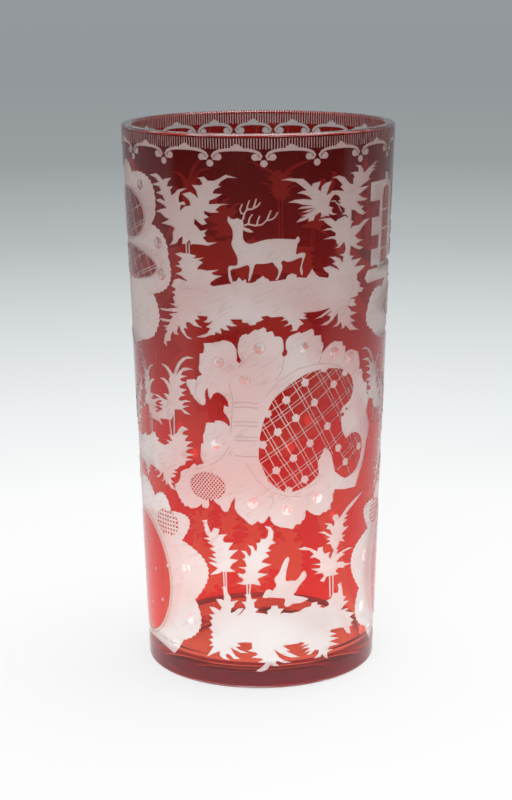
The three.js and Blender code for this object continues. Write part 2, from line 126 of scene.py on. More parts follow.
class Pen:
    """Draws the plain outlines that the figures are put together from."""

    @staticmethod
    def disc(
        middle: Point, radius: float, sides: int = 12, ratio: float = 1.0, tilt: float = 0.0
    ) -> Outline:
        """Draws a circle or an oval.

        Args:
            middle: Its centre on the sheet.
            radius: Half its length.
            sides: How many corners it has.
            ratio: Its other half axis as a share of the radius.
            tilt: The turn of its long axis from the level, in radians.

        Returns:
            The outline, anticlockwise.
        """
        turned = []
        for i in range(sides):
            a = math.tau * i / sides
            u, v = radius * math.cos(a), radius * ratio * math.sin(a)
            s = middle[0] + u * math.cos(tilt) - v * math.sin(tilt)
            t = middle[1] + u * math.sin(tilt) + v * math.cos(tilt)
            turned.append((s, t))
        return turned

    @staticmethod
    def stroke(path: Sequence[Point], width: float, end_width: float | None = None) -> Outline:
        """Draws a line of a given width along a path.

        Args:
            path: The points that its middle follows.
            width: Its width at the first point.
            end_width: Its width at the last point, or None for an even line.

        Returns:
            The outline of the line.
        """
        end = width if end_width is None else end_width
        left, right = [], []
        last = len(path) - 1
        for i, (s, t) in enumerate(path):
            before, after = path[max(i - 1, 0)], path[min(i + 1, last)]
            along = math.hypot(after[0] - before[0], after[1] - before[1]) or 1.0
            half = (width + (end - width) * i / last) / 2
            ns, nt = -(after[1] - before[1]) / along * half, (after[0] - before[0]) / along * half
            left.append((s + ns, t + nt))
            right.append((s - ns, t - nt))
        return right + left[::-1]

    @staticmethod
    def arcs(path: Sequence[Tip], teeth: float = 0.0, step: float = 0.8) -> Outline:
        """Joins corners by arcs that may be notched like a saw.

        Args:
            path: Entries of (s, t, bulge): the arc that leads there swells to the left by half its chord
                times the bulge.
            teeth: How far the teeth of the swelling arcs stand out; 0 leaves them smooth.
            step: The length of the straight pieces that an arc is made of.

        Returns:
            The closed outline.
        """
        points: Outline = []
        for i, entry in enumerate(path):
            s0, t0 = path[i - 1][:2]
            ds, dt = entry[0] - s0, entry[1] - t0
            bulge = entry[2] if len(entry) > 2 else 0.0
            chord = math.hypot(ds, dt) or 1.0
            length = math.hypot(ds, dt) * (1 + 0.5 * bulge * bulge)
            toothed = teeth > 0 and bulge >= 0.2 and length > 3.0
            count = max(1, round(length / (1.75 if toothed else step))) if abs(bulge) > 0.04 else 1
            for k in range(1, count + 1):
                for part, push in ((k - 1 + 0.78, teeth), (k, 0.0)) if toothed else ((k, 0.0),):
                    f = part / count
                    lift = 2 * f * (1 - f) * bulge + push / chord
                    points.append((s0 + ds * f - dt * lift, t0 + dt * f + ds * lift))
        return points

    @staticmethod
    def rounded(outline: Outline, share: float = 0.22) -> Outline:
        """Cuts each corner of an outline a little, as a wheel does.

        Args:
            outline: The outline.
            share: How much of each side the cuts at its ends take.

        Returns:
            The softer outline.
        """
        soft: Outline = []
        for i, (s, t) in enumerate(outline):
            s1, t1 = outline[(i + 1) % len(outline)]
            soft.append((s + (s1 - s) * share, t + (t1 - t) * share))
            soft.append((s1 - (s1 - s) * share, t1 - (t1 - t) * share))
        return soft

    @staticmethod
    def beside(path: Sequence[Point], gap: float) -> Outline:
        """Moves a path sideways.

        Args:
            path: The path.
            gap: How far it goes to its left.

        Returns:
            The moved path.
        """
        (s0, t0), (s1, t1) = path[0], path[-1]
        long = math.hypot(s1 - s0, t1 - t0)
        return [(s - (t1 - t0) / long * gap, t + (s1 - s0) / long * gap) for s, t in path]

    @staticmethod
    def shifted(outline: Iterable[Point], ds: float, dt: float = 0.0) -> Outline:
        """Moves an outline on the sheet."""
        return [(s + ds, t + dt) for s, t in outline]

    @staticmethod
    def mirrored(outline: Iterable[Point]) -> Outline:
        """Turns an outline over about the line s = 0."""
        return [(-s, t) for s, t in outline][::-1]

    @staticmethod
    def inside(point: Point, outline: Outline) -> bool:
        """Tests a point against an outline.

        Args:
            point: The point.
            outline: The outline.

        Returns:
            Whether the point lies inside.
        """
        s, t = point
        found = False
        for i, (s1, t1) in enumerate(outline):
            s0, t0 = outline[i - 1]
            if (t1 > t) != (t0 > t) and s < (s0 - s1) * (t - t1) / (t0 - t1) + s1:
                found = not found
        return found

    @staticmethod
    def clipped(start: Point, end: Point, outline: Outline) -> list[tuple[Point, Point]]:
        """Cuts a straight line to what lies inside an outline.

        Args:
            start: One end of the line.
            end: Its other end.
            outline: The outline that it is kept to.

        Returns:
            The stretches that lie inside.
        """
        ds, dt = end[0] - start[0], end[1] - start[1]
        meets = []
        for i, (s1, t1) in enumerate(outline):
            s0, t0 = outline[i - 1]
            es, et = s1 - s0, t1 - t0
            cross = ds * et - dt * es
            if abs(cross) < 1e-12:
                continue
            along = ((s0 - start[0]) * et - (t0 - start[1]) * es) / cross
            across = ((s0 - start[0]) * dt - (t0 - start[1]) * ds) / cross
            if 0 <= across < 1 and 0 < along < 1:
                meets.append(along)
        stops = [0.0, *sorted(meets), 1.0]
        kept = []
        for a, b in zip(stops, stops[1:]):
            low, middle, high = ((start[0] + ds * at, start[1] + dt * at) for at in (a, (a + b) / 2, b))
            if b - a > 1e-4 and Pen.inside(middle, outline):
                kept.append((low, high))
        return kept


@dataclass(frozen=True)
class Area:
    """One outline on the sheet and what it makes of the wall inside it."""

    outline: Outline
    cut: Cut
    layer: Layer | None = None
    only_on: Cut | None = None


@dataclass
class Drawing:
    """All that is engraved on the wall, in the order in which it is laid on."""

    areas: list[Area] = field(default_factory=list)
    beads: list[Point] = field(default_factory=list)

    def matt(self, *outlines: Outline) -> None:
        """Cuts these outlines through the ruby and leaves them matt."""
        self.areas += [Area(outline, Cut.MATT) for outline in outlines]

    def groove(self, *outlines: Outline) -> None:
        """Cuts these outlines as polished lines, where the wall is matt already."""
        self.areas += [Area(outline, Cut.GROOVE, only_on=Cut.MATT) for outline in outlines]

    def ruby(self, outline: Outline, layer: Layer) -> None:
        """Leaves an outline of ruby standing."""
        self.areas.append(Area(outline, Cut.NONE, layer))

    def bead(self, *places: Point) -> None:
        """Grinds polished round hollows at these places."""
        self.beads += places

    def add(self, other: "Drawing", ds: float) -> None:
        """Lays another drawing on this one, moved round the glass by ds."""
        self.areas += [replace(area, outline=Pen.shifted(area.outline, ds)) for area in other.areas]
        self.beads += Pen.shifted(other.beads, ds)


# Figures of the engraving


@dataclass(frozen=True)
class Plant:
    """A tree, a bush or a strip of ground: one ragged outline, and the thin lines of its trunk."""

    foot: Point
    leaves: Outline
    trunk: tuple[tuple[Point, Point], ...] = ()
    line: float = 0.42

    def draw(self, on: Drawing, foot: Point | None = None, wide: float = 1.0, high: float = 1.0) -> None:
        """Cuts the figure.

        Args:
            on: The drawing to cut it in.
            foot: Where it stands, or None for its place on the front.
            wide: How much wider it is than on the front; below 0 turns it over.
            high: How much higher it is.
        """
        s0, t0 = self.foot
        s1, t1 = foot or self.foot
        on.matt([(s1 + (s - s0) * wide, t1 + (t - t0) * high) for s, t in self.leaves])
        for path in self.trunk:
            on.matt(Pen.stroke([(s1 + (s - s0) * wide, t1 + (t - t0) * high) for s, t in path], self.line))


TALL_TREE = Plant((-19, 122.6), [
    (-31.7, 142.6), (-28.6, 143.3), (-27.4, 142.7), (-26.3, 141.7), (-25.6, 142.1), (-23.3, 142.5),
    (-24.5, 141.3), (-24.9, 140.1), (-22.8, 140.3), (-23.8, 139.3), (-23.5, 137.8), (-22.3, 138.6),
    (-21.5, 139.4), (-20.4, 139.8), (-18.6, 140), (-20.7, 138.9), (-21.2, 137.6), (-21.2, 136.1),
    (-19.6, 136.5), (-19.1, 135.5), (-20.7, 135.5), (-21, 133.9), (-20.4, 134.4), (-19.4, 135.2),
    (-17.8, 135.5), (-18.1, 136.9), (-20.2, 138.5), (-17.8, 139.1), (-16.5, 138.4), (-15.6, 137.6),
    (-16.1, 139.7), (-17.2, 141), (-14.9, 141), (-14.2, 141.3), (-14.9, 142.6), (-15.7, 143),
    (-13.8, 143.3), (-12.8, 142.3), (-11.2, 142.3), (-9.6, 143.1), (-8.2, 144), (-5.2, 143.2),
    (-7.8, 143.2), (-9.4, 142.2), (-10.2, 141.1), (-9.2, 140.9), (-11, 140.1), (-11.7, 139), (-9, 138.9),
    (-11, 137.7), (-12.5, 137.1), (-12.7, 136.1), (-10.2, 136.3), (-7.1, 136.3), (-9.6, 135.9),
    (-11, 134.7), (-9.9, 134), (-12.5, 133.9), (-14, 134.3), (-14, 133.6), (-12.7, 132.7), (-14.2, 132.1),
    (-13.3, 130.9), (-14.6, 130.5), (-15.4, 131), (-16.7, 132.1), (-16.9, 130.7), (-16.1, 130),
    (-15.2, 128.9), (-13.2, 129.4), (-14.1, 128.4), (-13.6, 127.7), (-14.6, 127.2), (-13.3, 125.9),
    (-10.6, 126.1), (-13.1, 125.1), (-15.2, 125.3), (-17.3, 125.3), (-18.2, 125), (-18.3, 126.4),
    (-19.4, 125.2), (-20.7, 125), (-20.4, 127.1), (-21.5, 126.5), (-22.3, 125.2), (-24.8, 124.2),
    (-23.6, 125.9), (-23.6, 127.8), (-22.9, 129.2), (-24.1, 129.7), (-27.7, 130), (-24.6, 131.3),
    (-26.2, 131.8), (-27.5, 132.8), (-29.6, 133), (-27.5, 133.8), (-25.4, 134.3), (-26.7, 135.2),
    (-29.5, 136.1), (-27.5, 136.6), (-25.8, 136.1), (-26.6, 137.5), (-29.1, 138.1), (-27.1, 138.8),
    (-27.7, 139.8), (-30.7, 140.2), (-27.8, 141), (-29.1, 142.1),
], (((-19.4, 122.2), (-19.4, 125.6)), ((-18.6, 122.2), (-18.6, 125.6))))

WOOD = Plant((24.5, 115.4), [
    (5.4, 142.6), (7.6, 143), (9.7, 142.8), (11.1, 142.7), (12.3, 141.7), (13.4, 140.6), (13.7, 141.4),
    (15.8, 141.8), (15.5, 140.8), (15.1, 139.8), (15.8, 139.1), (16.2, 140.5), (17.3, 141.3), (19.1, 141.7),
    (18.4, 140.5), (17.8, 138.9), (17.5, 138.1), (18.4, 138.4), (19.1, 139.1), (20.9, 139.1), (22.9, 138.7),
    (22.1, 139.5), (21.6, 139.9), (22.3, 140.5), (21.4, 141.4), (20.4, 142.3), (19, 142.5), (21.2, 143),
    (22.9, 142.4), (24, 141.3), (24.8, 140.5), (25.9, 140.3), (25.8, 141.4), (26.2, 142.3), (25.8, 143),
    (24.6, 143.3), (26.5, 143.6), (27.6, 143.4), (27.6, 144.6), (26.2, 145.3), (28.4, 145.1), (29.4, 144.1),
    (29.7, 143), (30.7, 143.5), (32.3, 144.4), (34.6, 145.5), (36.9, 145.8), (34, 144.6), (35.7, 144.2),
    (33.4, 143.9), (35.4, 143.4), (33.2, 143), (31.8, 141.6), (33, 140.9), (31.2, 140.6), (28.2, 139.2),
    (32.3, 139.4), (30.4, 138.4), (28, 137.3), (29.8, 136.3), (32.1, 135.8), (30.1, 135.5), (27.3, 135.5),
    (29, 134.2), (31.2, 134.1), (29.1, 133.4), (31.4, 132.1), (29.8, 131.7), (28.2, 132.3), (26.8, 133.3),
    (25.5, 133.5), (25.6, 132), (25.5, 130.6), (26.8, 130.3), (25.7, 129.9), (25.5, 128.5), (26.2, 129.1),
    (28.4, 129.1), (30.4, 130.2), (33.7, 130.6), (31.8, 129.8), (30.1, 128.7), (29, 127.6), (27.1, 126.3),
    (28.4, 125.3), (30.7, 124.9), (28.7, 124.5), (27.6, 123.9), (30.9, 122.8), (29, 122.4), (27.3, 123),
    (25.7, 123.9), (25.5, 122.6), (25.4, 121.2), (27.1, 120.9), (25.9, 119.9), (30.1, 120.1), (28.4, 118.9),
    (27.3, 118), (29.8, 118), (32.1, 117.7), (30.4, 116.9), (28.4, 115.9), (28.2, 114.6), (18.4, 114.6),
    (18.7, 117), (17.6, 117.8), (16.9, 118.7), (19, 119.1), (20.7, 118.3), (22.1, 117.6), (21.2, 118.7),
    (19.6, 119.6), (20.7, 120), (19.6, 121), (18.6, 121.5), (20.7, 121.4), (22.1, 120.8), (23, 119.6),
    (23.2, 121.2), (21.6, 121.8), (23.4, 122), (23.9, 123.1), (23.4, 125.1), (22.6, 124.5), (21.8, 123.8),
    (20, 123.6), (21.4, 124.2), (20.9, 125.1), (20.7, 125.9), (19.8, 126.3), (16.5, 126.3), (19, 126.9),
    (20.5, 127), (20.5, 127.8), (19, 128.7), (16.2, 128.6), (17.9, 129.2), (19.6, 129.2), (18.7, 129.8),
    (17.6, 130.6), (16.8, 131.4), (15.1, 131.6), (17.1, 132), (19, 131.9), (20.4, 130.8), (21.2, 131.4),
    (23.4, 132.1), (24.6, 131.4), (23.9, 132.3), (22.1, 132.6), (23.2, 133.1), (23.2, 134.1), (21.5, 135.1),
    (20.9, 135.6), (22.1, 135.6), (20.9, 136.2), (21.8, 136.6), (21.2, 137.6), (20.1, 138.1), (19.1, 137.3),
    (18.6, 136.3), (18.3, 135.1), (19.6, 134.6), (19.1, 133.9), (19.6, 133.1), (21.2, 132.8), (19.6, 132.6),
    (18.2, 133.1), (18.7, 132.3), (17.6, 132.6), (15.9, 132.1), (16.2, 133.1), (15.8, 133.7), (14.4, 132.8),
    (14, 131.6), (12.6, 131.4), (12.6, 132.3), (11.5, 131.7), (9.3, 131.2), (10.4, 132.3), (12.1, 132.7),
    (10.4, 132.8), (12.3, 133.5), (14.3, 134.5), (12.6, 133.9), (10.7, 133.9), (12.6, 134.5), (14.4, 134.9),
    (9.6, 134.8), (10.7, 135.3), (12.3, 135.5), (13.7, 135.6), (11.2, 135.9), (9.6, 136.4), (7.1, 136.6),
    (9, 137.3), (11.2, 137.4), (13.6, 137.1), (12.6, 138.1), (11.2, 138.7), (9.4, 139), (10.9, 139.5),
    (12.1, 139.6), (10.7, 140.8), (9.3, 141.9), (7.3, 142.4),
])

BUSH = Plant((-18, 114), [
    (-24.1, 114.6), (-23.8, 115.1), (-22, 115.6), (-19.4, 115.1), (-21.5, 116.5), (-23.3, 116.8),
    (-21.2, 117.6), (-21, 118.4), (-23.3, 118.9), (-21.5, 119.4), (-22.3, 120.1), (-21.2, 120.7),
    (-21, 121.3), (-23.2, 122.2), (-21.5, 122.7), (-19.8, 122.6), (-18.6, 122.6), (-16.5, 122.2),
    (-17.5, 121.4), (-14.1, 121.9), (-16, 121.1), (-14.6, 120.5), (-15.7, 119.7), (-16.5, 118.6),
    (-14.9, 118.6), (-13.6, 118.4), (-10.3, 118.8), (-12.5, 117.8), (-11.7, 117.3), (-9.5, 117.2),
    (-11, 116.5), (-12.5, 115.5), (-12.9, 114.7), (-12, 114.3), (-12, 113), (-24, 113),
])

UPPER_GROUND = Plant((0, 107), [
    (-24.1, 114.3), (-25, 113.2), (-23.3, 112.7), (-23.7, 112.1), (-24.9, 111.6), (-23.4, 111),
    (-24.4, 110.3), (-24.1, 109.7), (-23.8, 108.6), (-26.3, 108.4), (-24.1, 108), (-22.9, 107.6),
    (-26.7, 106.8), (-29.9, 106.7), (-28.8, 106.2), (-25.2, 106.3), (-22.8, 106.2), (-26.2, 105.5),
    (-24.6, 104.8), (-25.7, 104), (-30.3, 103.8), (-28.6, 103.2), (-25.6, 103.2), (-26.7, 102.2),
    (-29.2, 101.9), (-27, 101.5), (-27.9, 101), (-26.9, 100.7), (-27.8, 99.7), (-28.7, 97.3), (-27.3, 96.1),
    (-27.3, 97.8), (-25.8, 98.1), (-25.6, 99.7), (-24.8, 100.9), (-24.4, 100.1), (-22.8, 100.1),
    (-23.4, 101), (-22.7, 102.8), (-22.1, 101.3), (-20.9, 100.1), (-19.9, 99.4), (-18.3, 99.4),
    (-20.2, 100.2), (-20.9, 101.5), (-21.1, 102.2), (-19.8, 102.1), (-20.3, 103.1), (-20.2, 103.9),
    (-19.1, 103.9), (-17.8, 103.1), (-15.2, 102.7), (-16.5, 103.4), (-17.7, 104.8), (-16.1, 105.1),
    (-16.9, 106), (-13.8, 106), (-14, 105), (-15.2, 104.4), (-13.6, 104.3), (-12.4, 105), (-13.2, 103.9),
    (-14.4, 103.1), (-13.1, 102.8), (-14.1, 101.3), (-17.3, 100.1), (-14.9, 100.2), (-13.1, 101),
    (-11.9, 101.1), (-11.7, 101.8), (-10, 101.5), (-10.3, 103.1), (-9.1, 102.5), (-7.8, 102.5),
    (-8.8, 103.9), (-7.3, 103.6), (-5.7, 103.8), (-7.5, 104.7), (-6.7, 104.6), (-7.7, 105.5), (-4.6, 105.6),
    (-4.4, 104.7), (-3.1, 104.7), (-2.5, 104), (-1, 104.2), (-0.8, 104.8), (0.3, 105.2), (1.1, 105.6),
    (0.3, 106.3), (2, 106.6), (3, 106.1), (5.9, 106.3), (6.6, 105.7), (5.3, 105), (7.2, 105.3),
    (7.6, 104.5), (6.1, 103.4), (8.4, 104.1), (8.7, 102.8), (7.9, 102.1), (9.9, 102.3), (10.1, 102.8),
    (10.7, 103.6), (11.8, 103.9), (10.3, 105.4), (11.6, 105.2), (12.9, 105.3), (11.8, 106.1), (12.5, 106.5),
    (11.3, 107), (14.7, 107), (16.8, 107.2), (19.5, 107.7), (16.8, 106), (14.7, 105), (16.8, 105.3),
    (19.9, 106.9), (19.1, 106.2), (18.2, 105.6), (19.5, 105.4), (19.2, 104.4), (16.4, 103.1), (18.4, 103.1),
    (20, 104.1), (21.8, 106), (21.8, 103.8), (21.6, 103.1), (20.1, 102.3), (21.8, 102.4), (23, 103.4),
    (23.3, 101.7), (22.6, 101.4), (24.1, 101.6), (24.5, 102.3), (26.3, 100.7), (30.3, 100.2), (28.4, 101),
    (26.4, 102.8), (28.7, 102.9), (26.8, 103.8), (26.1, 104.6), (29.2, 105.2), (26.6, 105.8), (26.1, 106.6),
    (25, 107.5), (27.1, 107.1), (28.9, 107.2), (27.6, 108.1), (27.9, 109.1), (25.9, 109.4), (27.6, 109.6),
    (29.2, 109.9), (28.9, 110.7), (30.7, 110.6), (31.3, 111.6), (29.5, 112.3), (30, 113.1), (28.4, 114.2),
    (28.4, 115.5), (18.4, 115.9), (15.9, 116.4), (15.1, 117), (14.3, 118), (13.8, 118.8), (13.3, 117.8),
    (12.6, 116.9), (12.3, 116.4), (9.6, 116.7), (9.6, 117.4), (8.3, 117.8), (7.2, 117.3), (6.8, 116.3),
    (4, 115.9), (2.6, 115.9), (2.2, 116.5), (1.5, 116.8), (0.9, 117.4), (0.3, 116.8), (-0.5, 116.4),
    (-1, 115.8), (-2, 115.5), (-3.2, 115.5), (-3.4, 116.5), (-4.3, 116), (-5.2, 117), (-5.9, 115.8),
    (-6.5, 115.9), (-7.3, 115.2), (-12, 114.3), (-20, 114.3),
])

SIDE_PALM = Plant((-26.4, 71.5), [
    (-18, 94.2), (-20, 94.5), (-22, 93.8), (-23.7, 92.2), (-24.8, 90.2), (-25.3, 88.8), (-25.8, 89.3),
    (-27.2, 90.7), (-28.7, 91.2), (-30.5, 91.1), (-28.7, 90.5), (-27.2, 89.2), (-26.8, 88), (-27.2, 87.2),
    (-26.8, 86), (-27.7, 86.7), (-29.3, 87.3), (-31, 87), (-29.3, 86.5), (-28.2, 85.5), (-27.5, 84.3),
    (-27.3, 82.8), (-28.7, 83), (-30, 82.8), (-28.7, 82), (-28, 81.2), (-29.7, 81.3), (-32, 82),
    (-35.3, 81.8), (-32, 81.3), (-30.3, 80.3), (-32.3, 79.8), (-29.7, 79.3), (-32.8, 78.8), (-30.3, 78.3),
    (-32.7, 77), (-34.7, 74.3), (-32.3, 75.3), (-29.7, 75.5), (-27.3, 75.7), (-26.7, 75.7), (-25.2, 79),
    (-23, 79.3), (-22, 78.3), (-19.3, 78), (-21.3, 79), (-22.5, 79.7), (-20, 80.7), (-22.7, 80.5),
    (-21.7, 81.5), (-19.3, 82), (-21.3, 82.2), (-23, 81.7), (-23.8, 82), (-23, 83), (-21.3, 83.5),
    (-22.8, 84), (-20.7, 85.2), (-23, 85.3), (-23.3, 85.8), (-20.7, 87.3), (-22.5, 87.3), (-23, 88),
    (-20.3, 89), (-22.7, 89), (-21.8, 90.2), (-20, 90.8), (-18.3, 91), (-20, 91.3), (-21.7, 91.2),
    (-23.3, 90), (-24, 89), (-23.7, 90), (-22.3, 92.3), (-20.7, 93.7),
], (((-27, 71.5), (-27.6, 76.4)), ((-25.9, 71.5), (-25.6, 79.4))), 0.6)

SIDE_GROUND = Plant((-26, 66), [
    (-40, 68.7), (-37, 69.7), (-36, 71), (-34.3, 70.8), (-34, 69.7), (-32.3, 69.5), (-33.5, 68.7),
    (-30, 68), (-28, 69), (-30, 69.7), (-28.3, 69.7), (-26.7, 69.7), (-28.5, 71.5), (-26.3, 71.5),
    (-25, 72.3), (-24, 73.7), (-22.7, 74.7), (-20.7, 74), (-22.3, 73.3), (-23, 72.3), (-20.7, 72.2),
    (-21.8, 71.3), (-22, 70.5), (-19.3, 70.7), (-21, 69.8), (-21.7, 69), (-19.2, 69), (-21.2, 68.3),
    (-22, 67.3), (-18.8, 67), (-21.3, 66.3), (-22, 65.7), (-19.3, 65.7), (-22, 64.8), (-22.3, 63.7),
    (-24.3, 63), (-25.3, 62), (-26.7, 61.5), (-25, 61), (-27.3, 60.5), (-25.7, 60), (-27.3, 59.3),
    (-28, 59), (-32, 60), (-40, 61),
])

LOW_PALM = Plant((-10.5, 29.8), [
    (-17.3, 48.5), (-15.5, 48.9), (-15.6, 47.8), (-15, 46.5), (-14.5, 45.3), (-13.8, 46.3), (-13.5, 46.8),
    (-11.8, 46.6), (-12.1, 45.5), (-12.4, 44.9), (-9.5, 45.3), (-10.6, 44.4), (-10.9, 43.4), (-10.3, 42.8),
    (-7.8, 43), (-8.8, 41.8), (-9.4, 40.6), (-6.4, 41), (-8.1, 39.5), (-9.1, 38.3), (-6.3, 38),
    (-8.3, 36.8), (-9, 35.5), (-7.2, 34.6), (-9.7, 34.3), (-11.2, 34.3), (-12.7, 33.5), (-15.3, 32.8),
    (-13, 34.7), (-12.7, 35.2), (-15.7, 36.5), (-14, 36.8), (-12.5, 36.5), (-15.8, 38), (-13, 38),
    (-14.4, 39.1), (-12.9, 39.5), (-15.1, 40.6), (-13.5, 41.3), (-15.8, 42.3), (-14.5, 42.8), (-17.1, 43.4),
    (-14.9, 43.9), (-15.9, 44.5), (-16.3, 45.5), (-16.6, 45.9), (-16.3, 46.6), (-16.9, 47.1), (-16.5, 47.6),
], (((-10.8, 29.6), (-10.9, 34.6)), ((-10.1, 29.6), (-10.2, 34.6))))

SECOND_PALM = Plant((-3.4, 28.2), [
    (1, 48), (2.7, 47.7), (3.6, 46.3), (3.5, 44.7), (3.3, 43.7), (4.3, 43), (2.8, 42.5), (2, 41.5),
    (3, 40.8), (1.3, 40.3), (2.5, 39.2), (0.8, 38.3), (0.2, 37.5), (3.2, 36.7), (1.3, 36.2), (-0.3, 35.3),
    (-1, 34.5), (2.2, 34), (0.3, 33.3), (-1, 32.7), (0, 30.7), (-2.7, 31.2), (-5, 30.8), (-7, 31.2),
    (-5.3, 31.7), (-5, 32.5), (-6.3, 33.2), (-6.8, 34.2), (-5, 34), (-4.3, 34.5), (-4.5, 35.3), (-6.7, 36),
    (-4.7, 36), (-4, 36.2), (-4.5, 37.7), (-5.3, 38.3), (-4.5, 38.7), (-4.7, 39.8), (-5.8, 40.8),
    (-4.3, 40.7), (-3.2, 39), (-2.7, 40), (-2.8, 41.3), (-3.8, 42.5), (-2.3, 42.2), (-1.3, 40.5), (-1, 42),
    (-1.3, 43), (-0.3, 43.2), (0, 44), (-0.3, 44.3), (1.3, 44.2), (2, 45), (2.2, 46.7),
], (((-4, 28), (-4, 31.4)), ((-3.4, 28), (-3, 31.4))))

LOWER_GROUND = Plant((7, 14), [
    (-14, 21.4), (-15.7, 23.5), (-14, 23.5), (-12.3, 22.7), (-11.7, 23.7), (-12.7, 25), (-13.5, 26),
    (-11.7, 26.2), (-11, 25.8), (-11, 27.7), (-11.2, 29.3), (-11.7, 29.7), (-10, 30), (-9.8, 28.3),
    (-8.8, 26.8), (-9, 25.7), (-6.5, 26.3), (-7.7, 25.3), (-8, 24.3), (-8.8, 23.7), (-9, 22.3), (-8, 22.7),
    (-6.7, 23.8), (-5, 24), (-6, 22.7), (-7.3, 21.5), (-6, 22.3), (-4.5, 24), (-4.8, 25), (-5.8, 25.8),
    (-4.3, 26), (-4.2, 27.3), (-4.8, 28), (-3, 28.2), (-2.8, 26.7), (-1, 26.7), (-2, 25.7), (-2, 24.3),
    (-0.7, 23.8), (-1.8, 22.8), (0.7, 22.5), (2, 22.2), (1.7, 23.2), (3, 24), (3, 24.7), (4.8, 24.7),
    (5, 23.8), (6.8, 23.7), (5.5, 22.2), (6.7, 22.5), (8.7, 22.2), (11.3, 22.4), (13, 23.3), (15, 23.5),
    (15.3, 24.5), (17.2, 24.5), (17, 23.7), (18.7, 23.3), (18, 22.8), (19.3, 22.3), (21.3, 22.8),
    (21, 23.7), (20.2, 24.3), (22, 24.7), (22.5, 26), (24.5, 25.8), (24.7, 27), (24.3, 28.3), (25.8, 28.7),
    (26.3, 26.7), (26.7, 24.3), (28.5, 23.8), (26.8, 22.8), (29.8, 22.2), (27.3, 21.5), (26, 20.3),
    (27.3, 20.3), (29.7, 20), (28, 19.5), (30, 18.7), (32.7, 17.8), (30, 17.3), (32.2, 15.8), (30.7, 15.3),
    (31.7, 14.2), (30, 14.3), (31, 11.8), (29, 12.7), (27.3, 14.7), (26.3, 15), (22.3, 15.2), (21.8, 14.7),
    (24.7, 13.5), (21.7, 13.3), (25.8, 12), (21.7, 11.8), (25.7, 10.2), (22, 10.3), (21, 9.5), (23.5, 9.2),
    (21, 8.7), (21.2, 6.7), (19.7, 7.7), (19.3, 8.7), (18.7, 7.8), (16.3, 7.7), (17.7, 8.8), (18, 10),
    (16.7, 10.3), (15.3, 9.2), (13.7, 9.2), (15.3, 10.3), (12.8, 9.8), (15, 11.2), (12.2, 11.3),
    (14.7, 12.3), (11.7, 12), (13.3, 12.8), (12, 13.3), (11.3, 13), (6.3, 12.7), (7.3, 12), (8.8, 11),
    (7.3, 11.2), (8.7, 10.3), (11.7, 8.8), (9, 9), (7, 9.7), (5.3, 10.7), (3.7, 11.8), (5.3, 9.3),
    (6.7, 8.3), (9.2, 7.5), (6.7, 7.5), (4.7, 8.3), (4.2, 7.8), (5.5, 6.7), (3.7, 6.8), (2.7, 7.3),
    (1.7, 5.8), (0, 5.2), (-1.7, 5.3), (0.3, 6.7), (1.3, 7.8), (-1.3, 8), (0.7, 8.8), (-0.3, 9.2),
    (-3.2, 9.3), (-1, 10.3), (-1.7, 11), (-4.3, 11.3), (-2.7, 12), (-2.8, 13.8), (-5, 13.9), (-7.3, 13.5),
    (-6, 12.7), (-7.7, 12.3), (-6.3, 11.5), (-3.7, 10.7), (-6.3, 10.7), (-9.2, 12), (-8.5, 10.7),
    (-7.8, 9.7), (-6.2, 8.8), (-8.3, 8.7), (-9.7, 10), (-10.8, 10), (-10.5, 9), (-9.3, 8.2), (-11.7, 8.5),
    (-12.7, 9.3), (-12.7, 10.7), (-14, 10), (-17, 8.4), (-14.5, 12), (-16.3, 11.6), (-14.8, 12.8),
    (-16.2, 13.7), (-14.5, 14.3), (-15.5, 15.2), (-14.6, 16), (-16, 17.2), (-14.8, 18), (-15.6, 19.4),
    (-14.6, 20), (-16, 21.2),
])

HIGH_CROWN = Plant((23.2, 39.3), [
    (22, 49), (23.7, 49), (24.3, 47.8), (25.7, 49), (27, 50.2), (30, 51.9), (36, 54), (30.6, 51),
    (27.4, 49), (26.7, 48.3), (28, 48), (26, 47.2), (27.7, 46.7), (25.7, 45.8), (26.3, 44.7), (28.8, 44.8),
    (26.7, 43.8), (25.7, 43.2), (25.3, 42.5), (27.5, 42.5), (25.5, 41.7), (27, 40.3), (24.7, 41),
    (24.3, 40), (23.2, 38.4), (22, 39.3), (21.3, 40.7), (19.7, 41), (21.3, 41.7), (19.7, 42.5),
    (21.3, 42.8), (20, 43.3), (19.3, 44), (18, 44.5), (16.7, 44.8), (19, 44.8), (20.7, 43.7), (21.8, 43.2),
    (21, 45), (19.5, 45.5), (20.3, 46.3), (18.8, 47.2), (21.3, 46.7), (22.3, 45.7), (22.5, 47), (21.8, 48),
])

LOW_CROWN = Plant((22, 25.3), [
    (10.7, 40.8), (12.7, 41.2), (14.7, 40.5), (16.7, 39.3), (17, 40.3), (18.7, 40.5), (18.7, 39.3),
    (19.3, 38.2), (21.3, 38.5), (20.7, 37.5), (21.3, 36.3), (22, 38), (22.5, 38.8), (24.2, 38.7),
    (23.7, 37.3), (26.3, 38), (28.3, 38.3), (30.8, 37.7), (28, 37.7), (25.7, 37.2), (27.3, 36.7),
    (25, 36.2), (23.7, 35), (26, 34.7), (27, 34), (30, 33.3), (26.7, 33.2), (27, 32.7), (24.3, 33.2),
    (23.3, 32.3), (24.8, 31.3), (22.7, 31.3), (21, 31.5), (20, 31.3), (19.3, 30), (17.8, 30.5),
    (19.2, 31.7), (18.7, 32.7), (16, 32.8), (17.3, 33.3), (14.7, 34.5), (17.7, 34.3), (18, 35), (15, 35.8),
    (18, 35.7), (17.7, 36.7), (16, 37.7), (14.3, 37.7), (15.7, 38.7), (14.3, 40), (12.3, 40.3),
], (((21.6, 25), (21.2, 31.9)), ((22.7, 25), (22.4, 31.9))), 0.5)


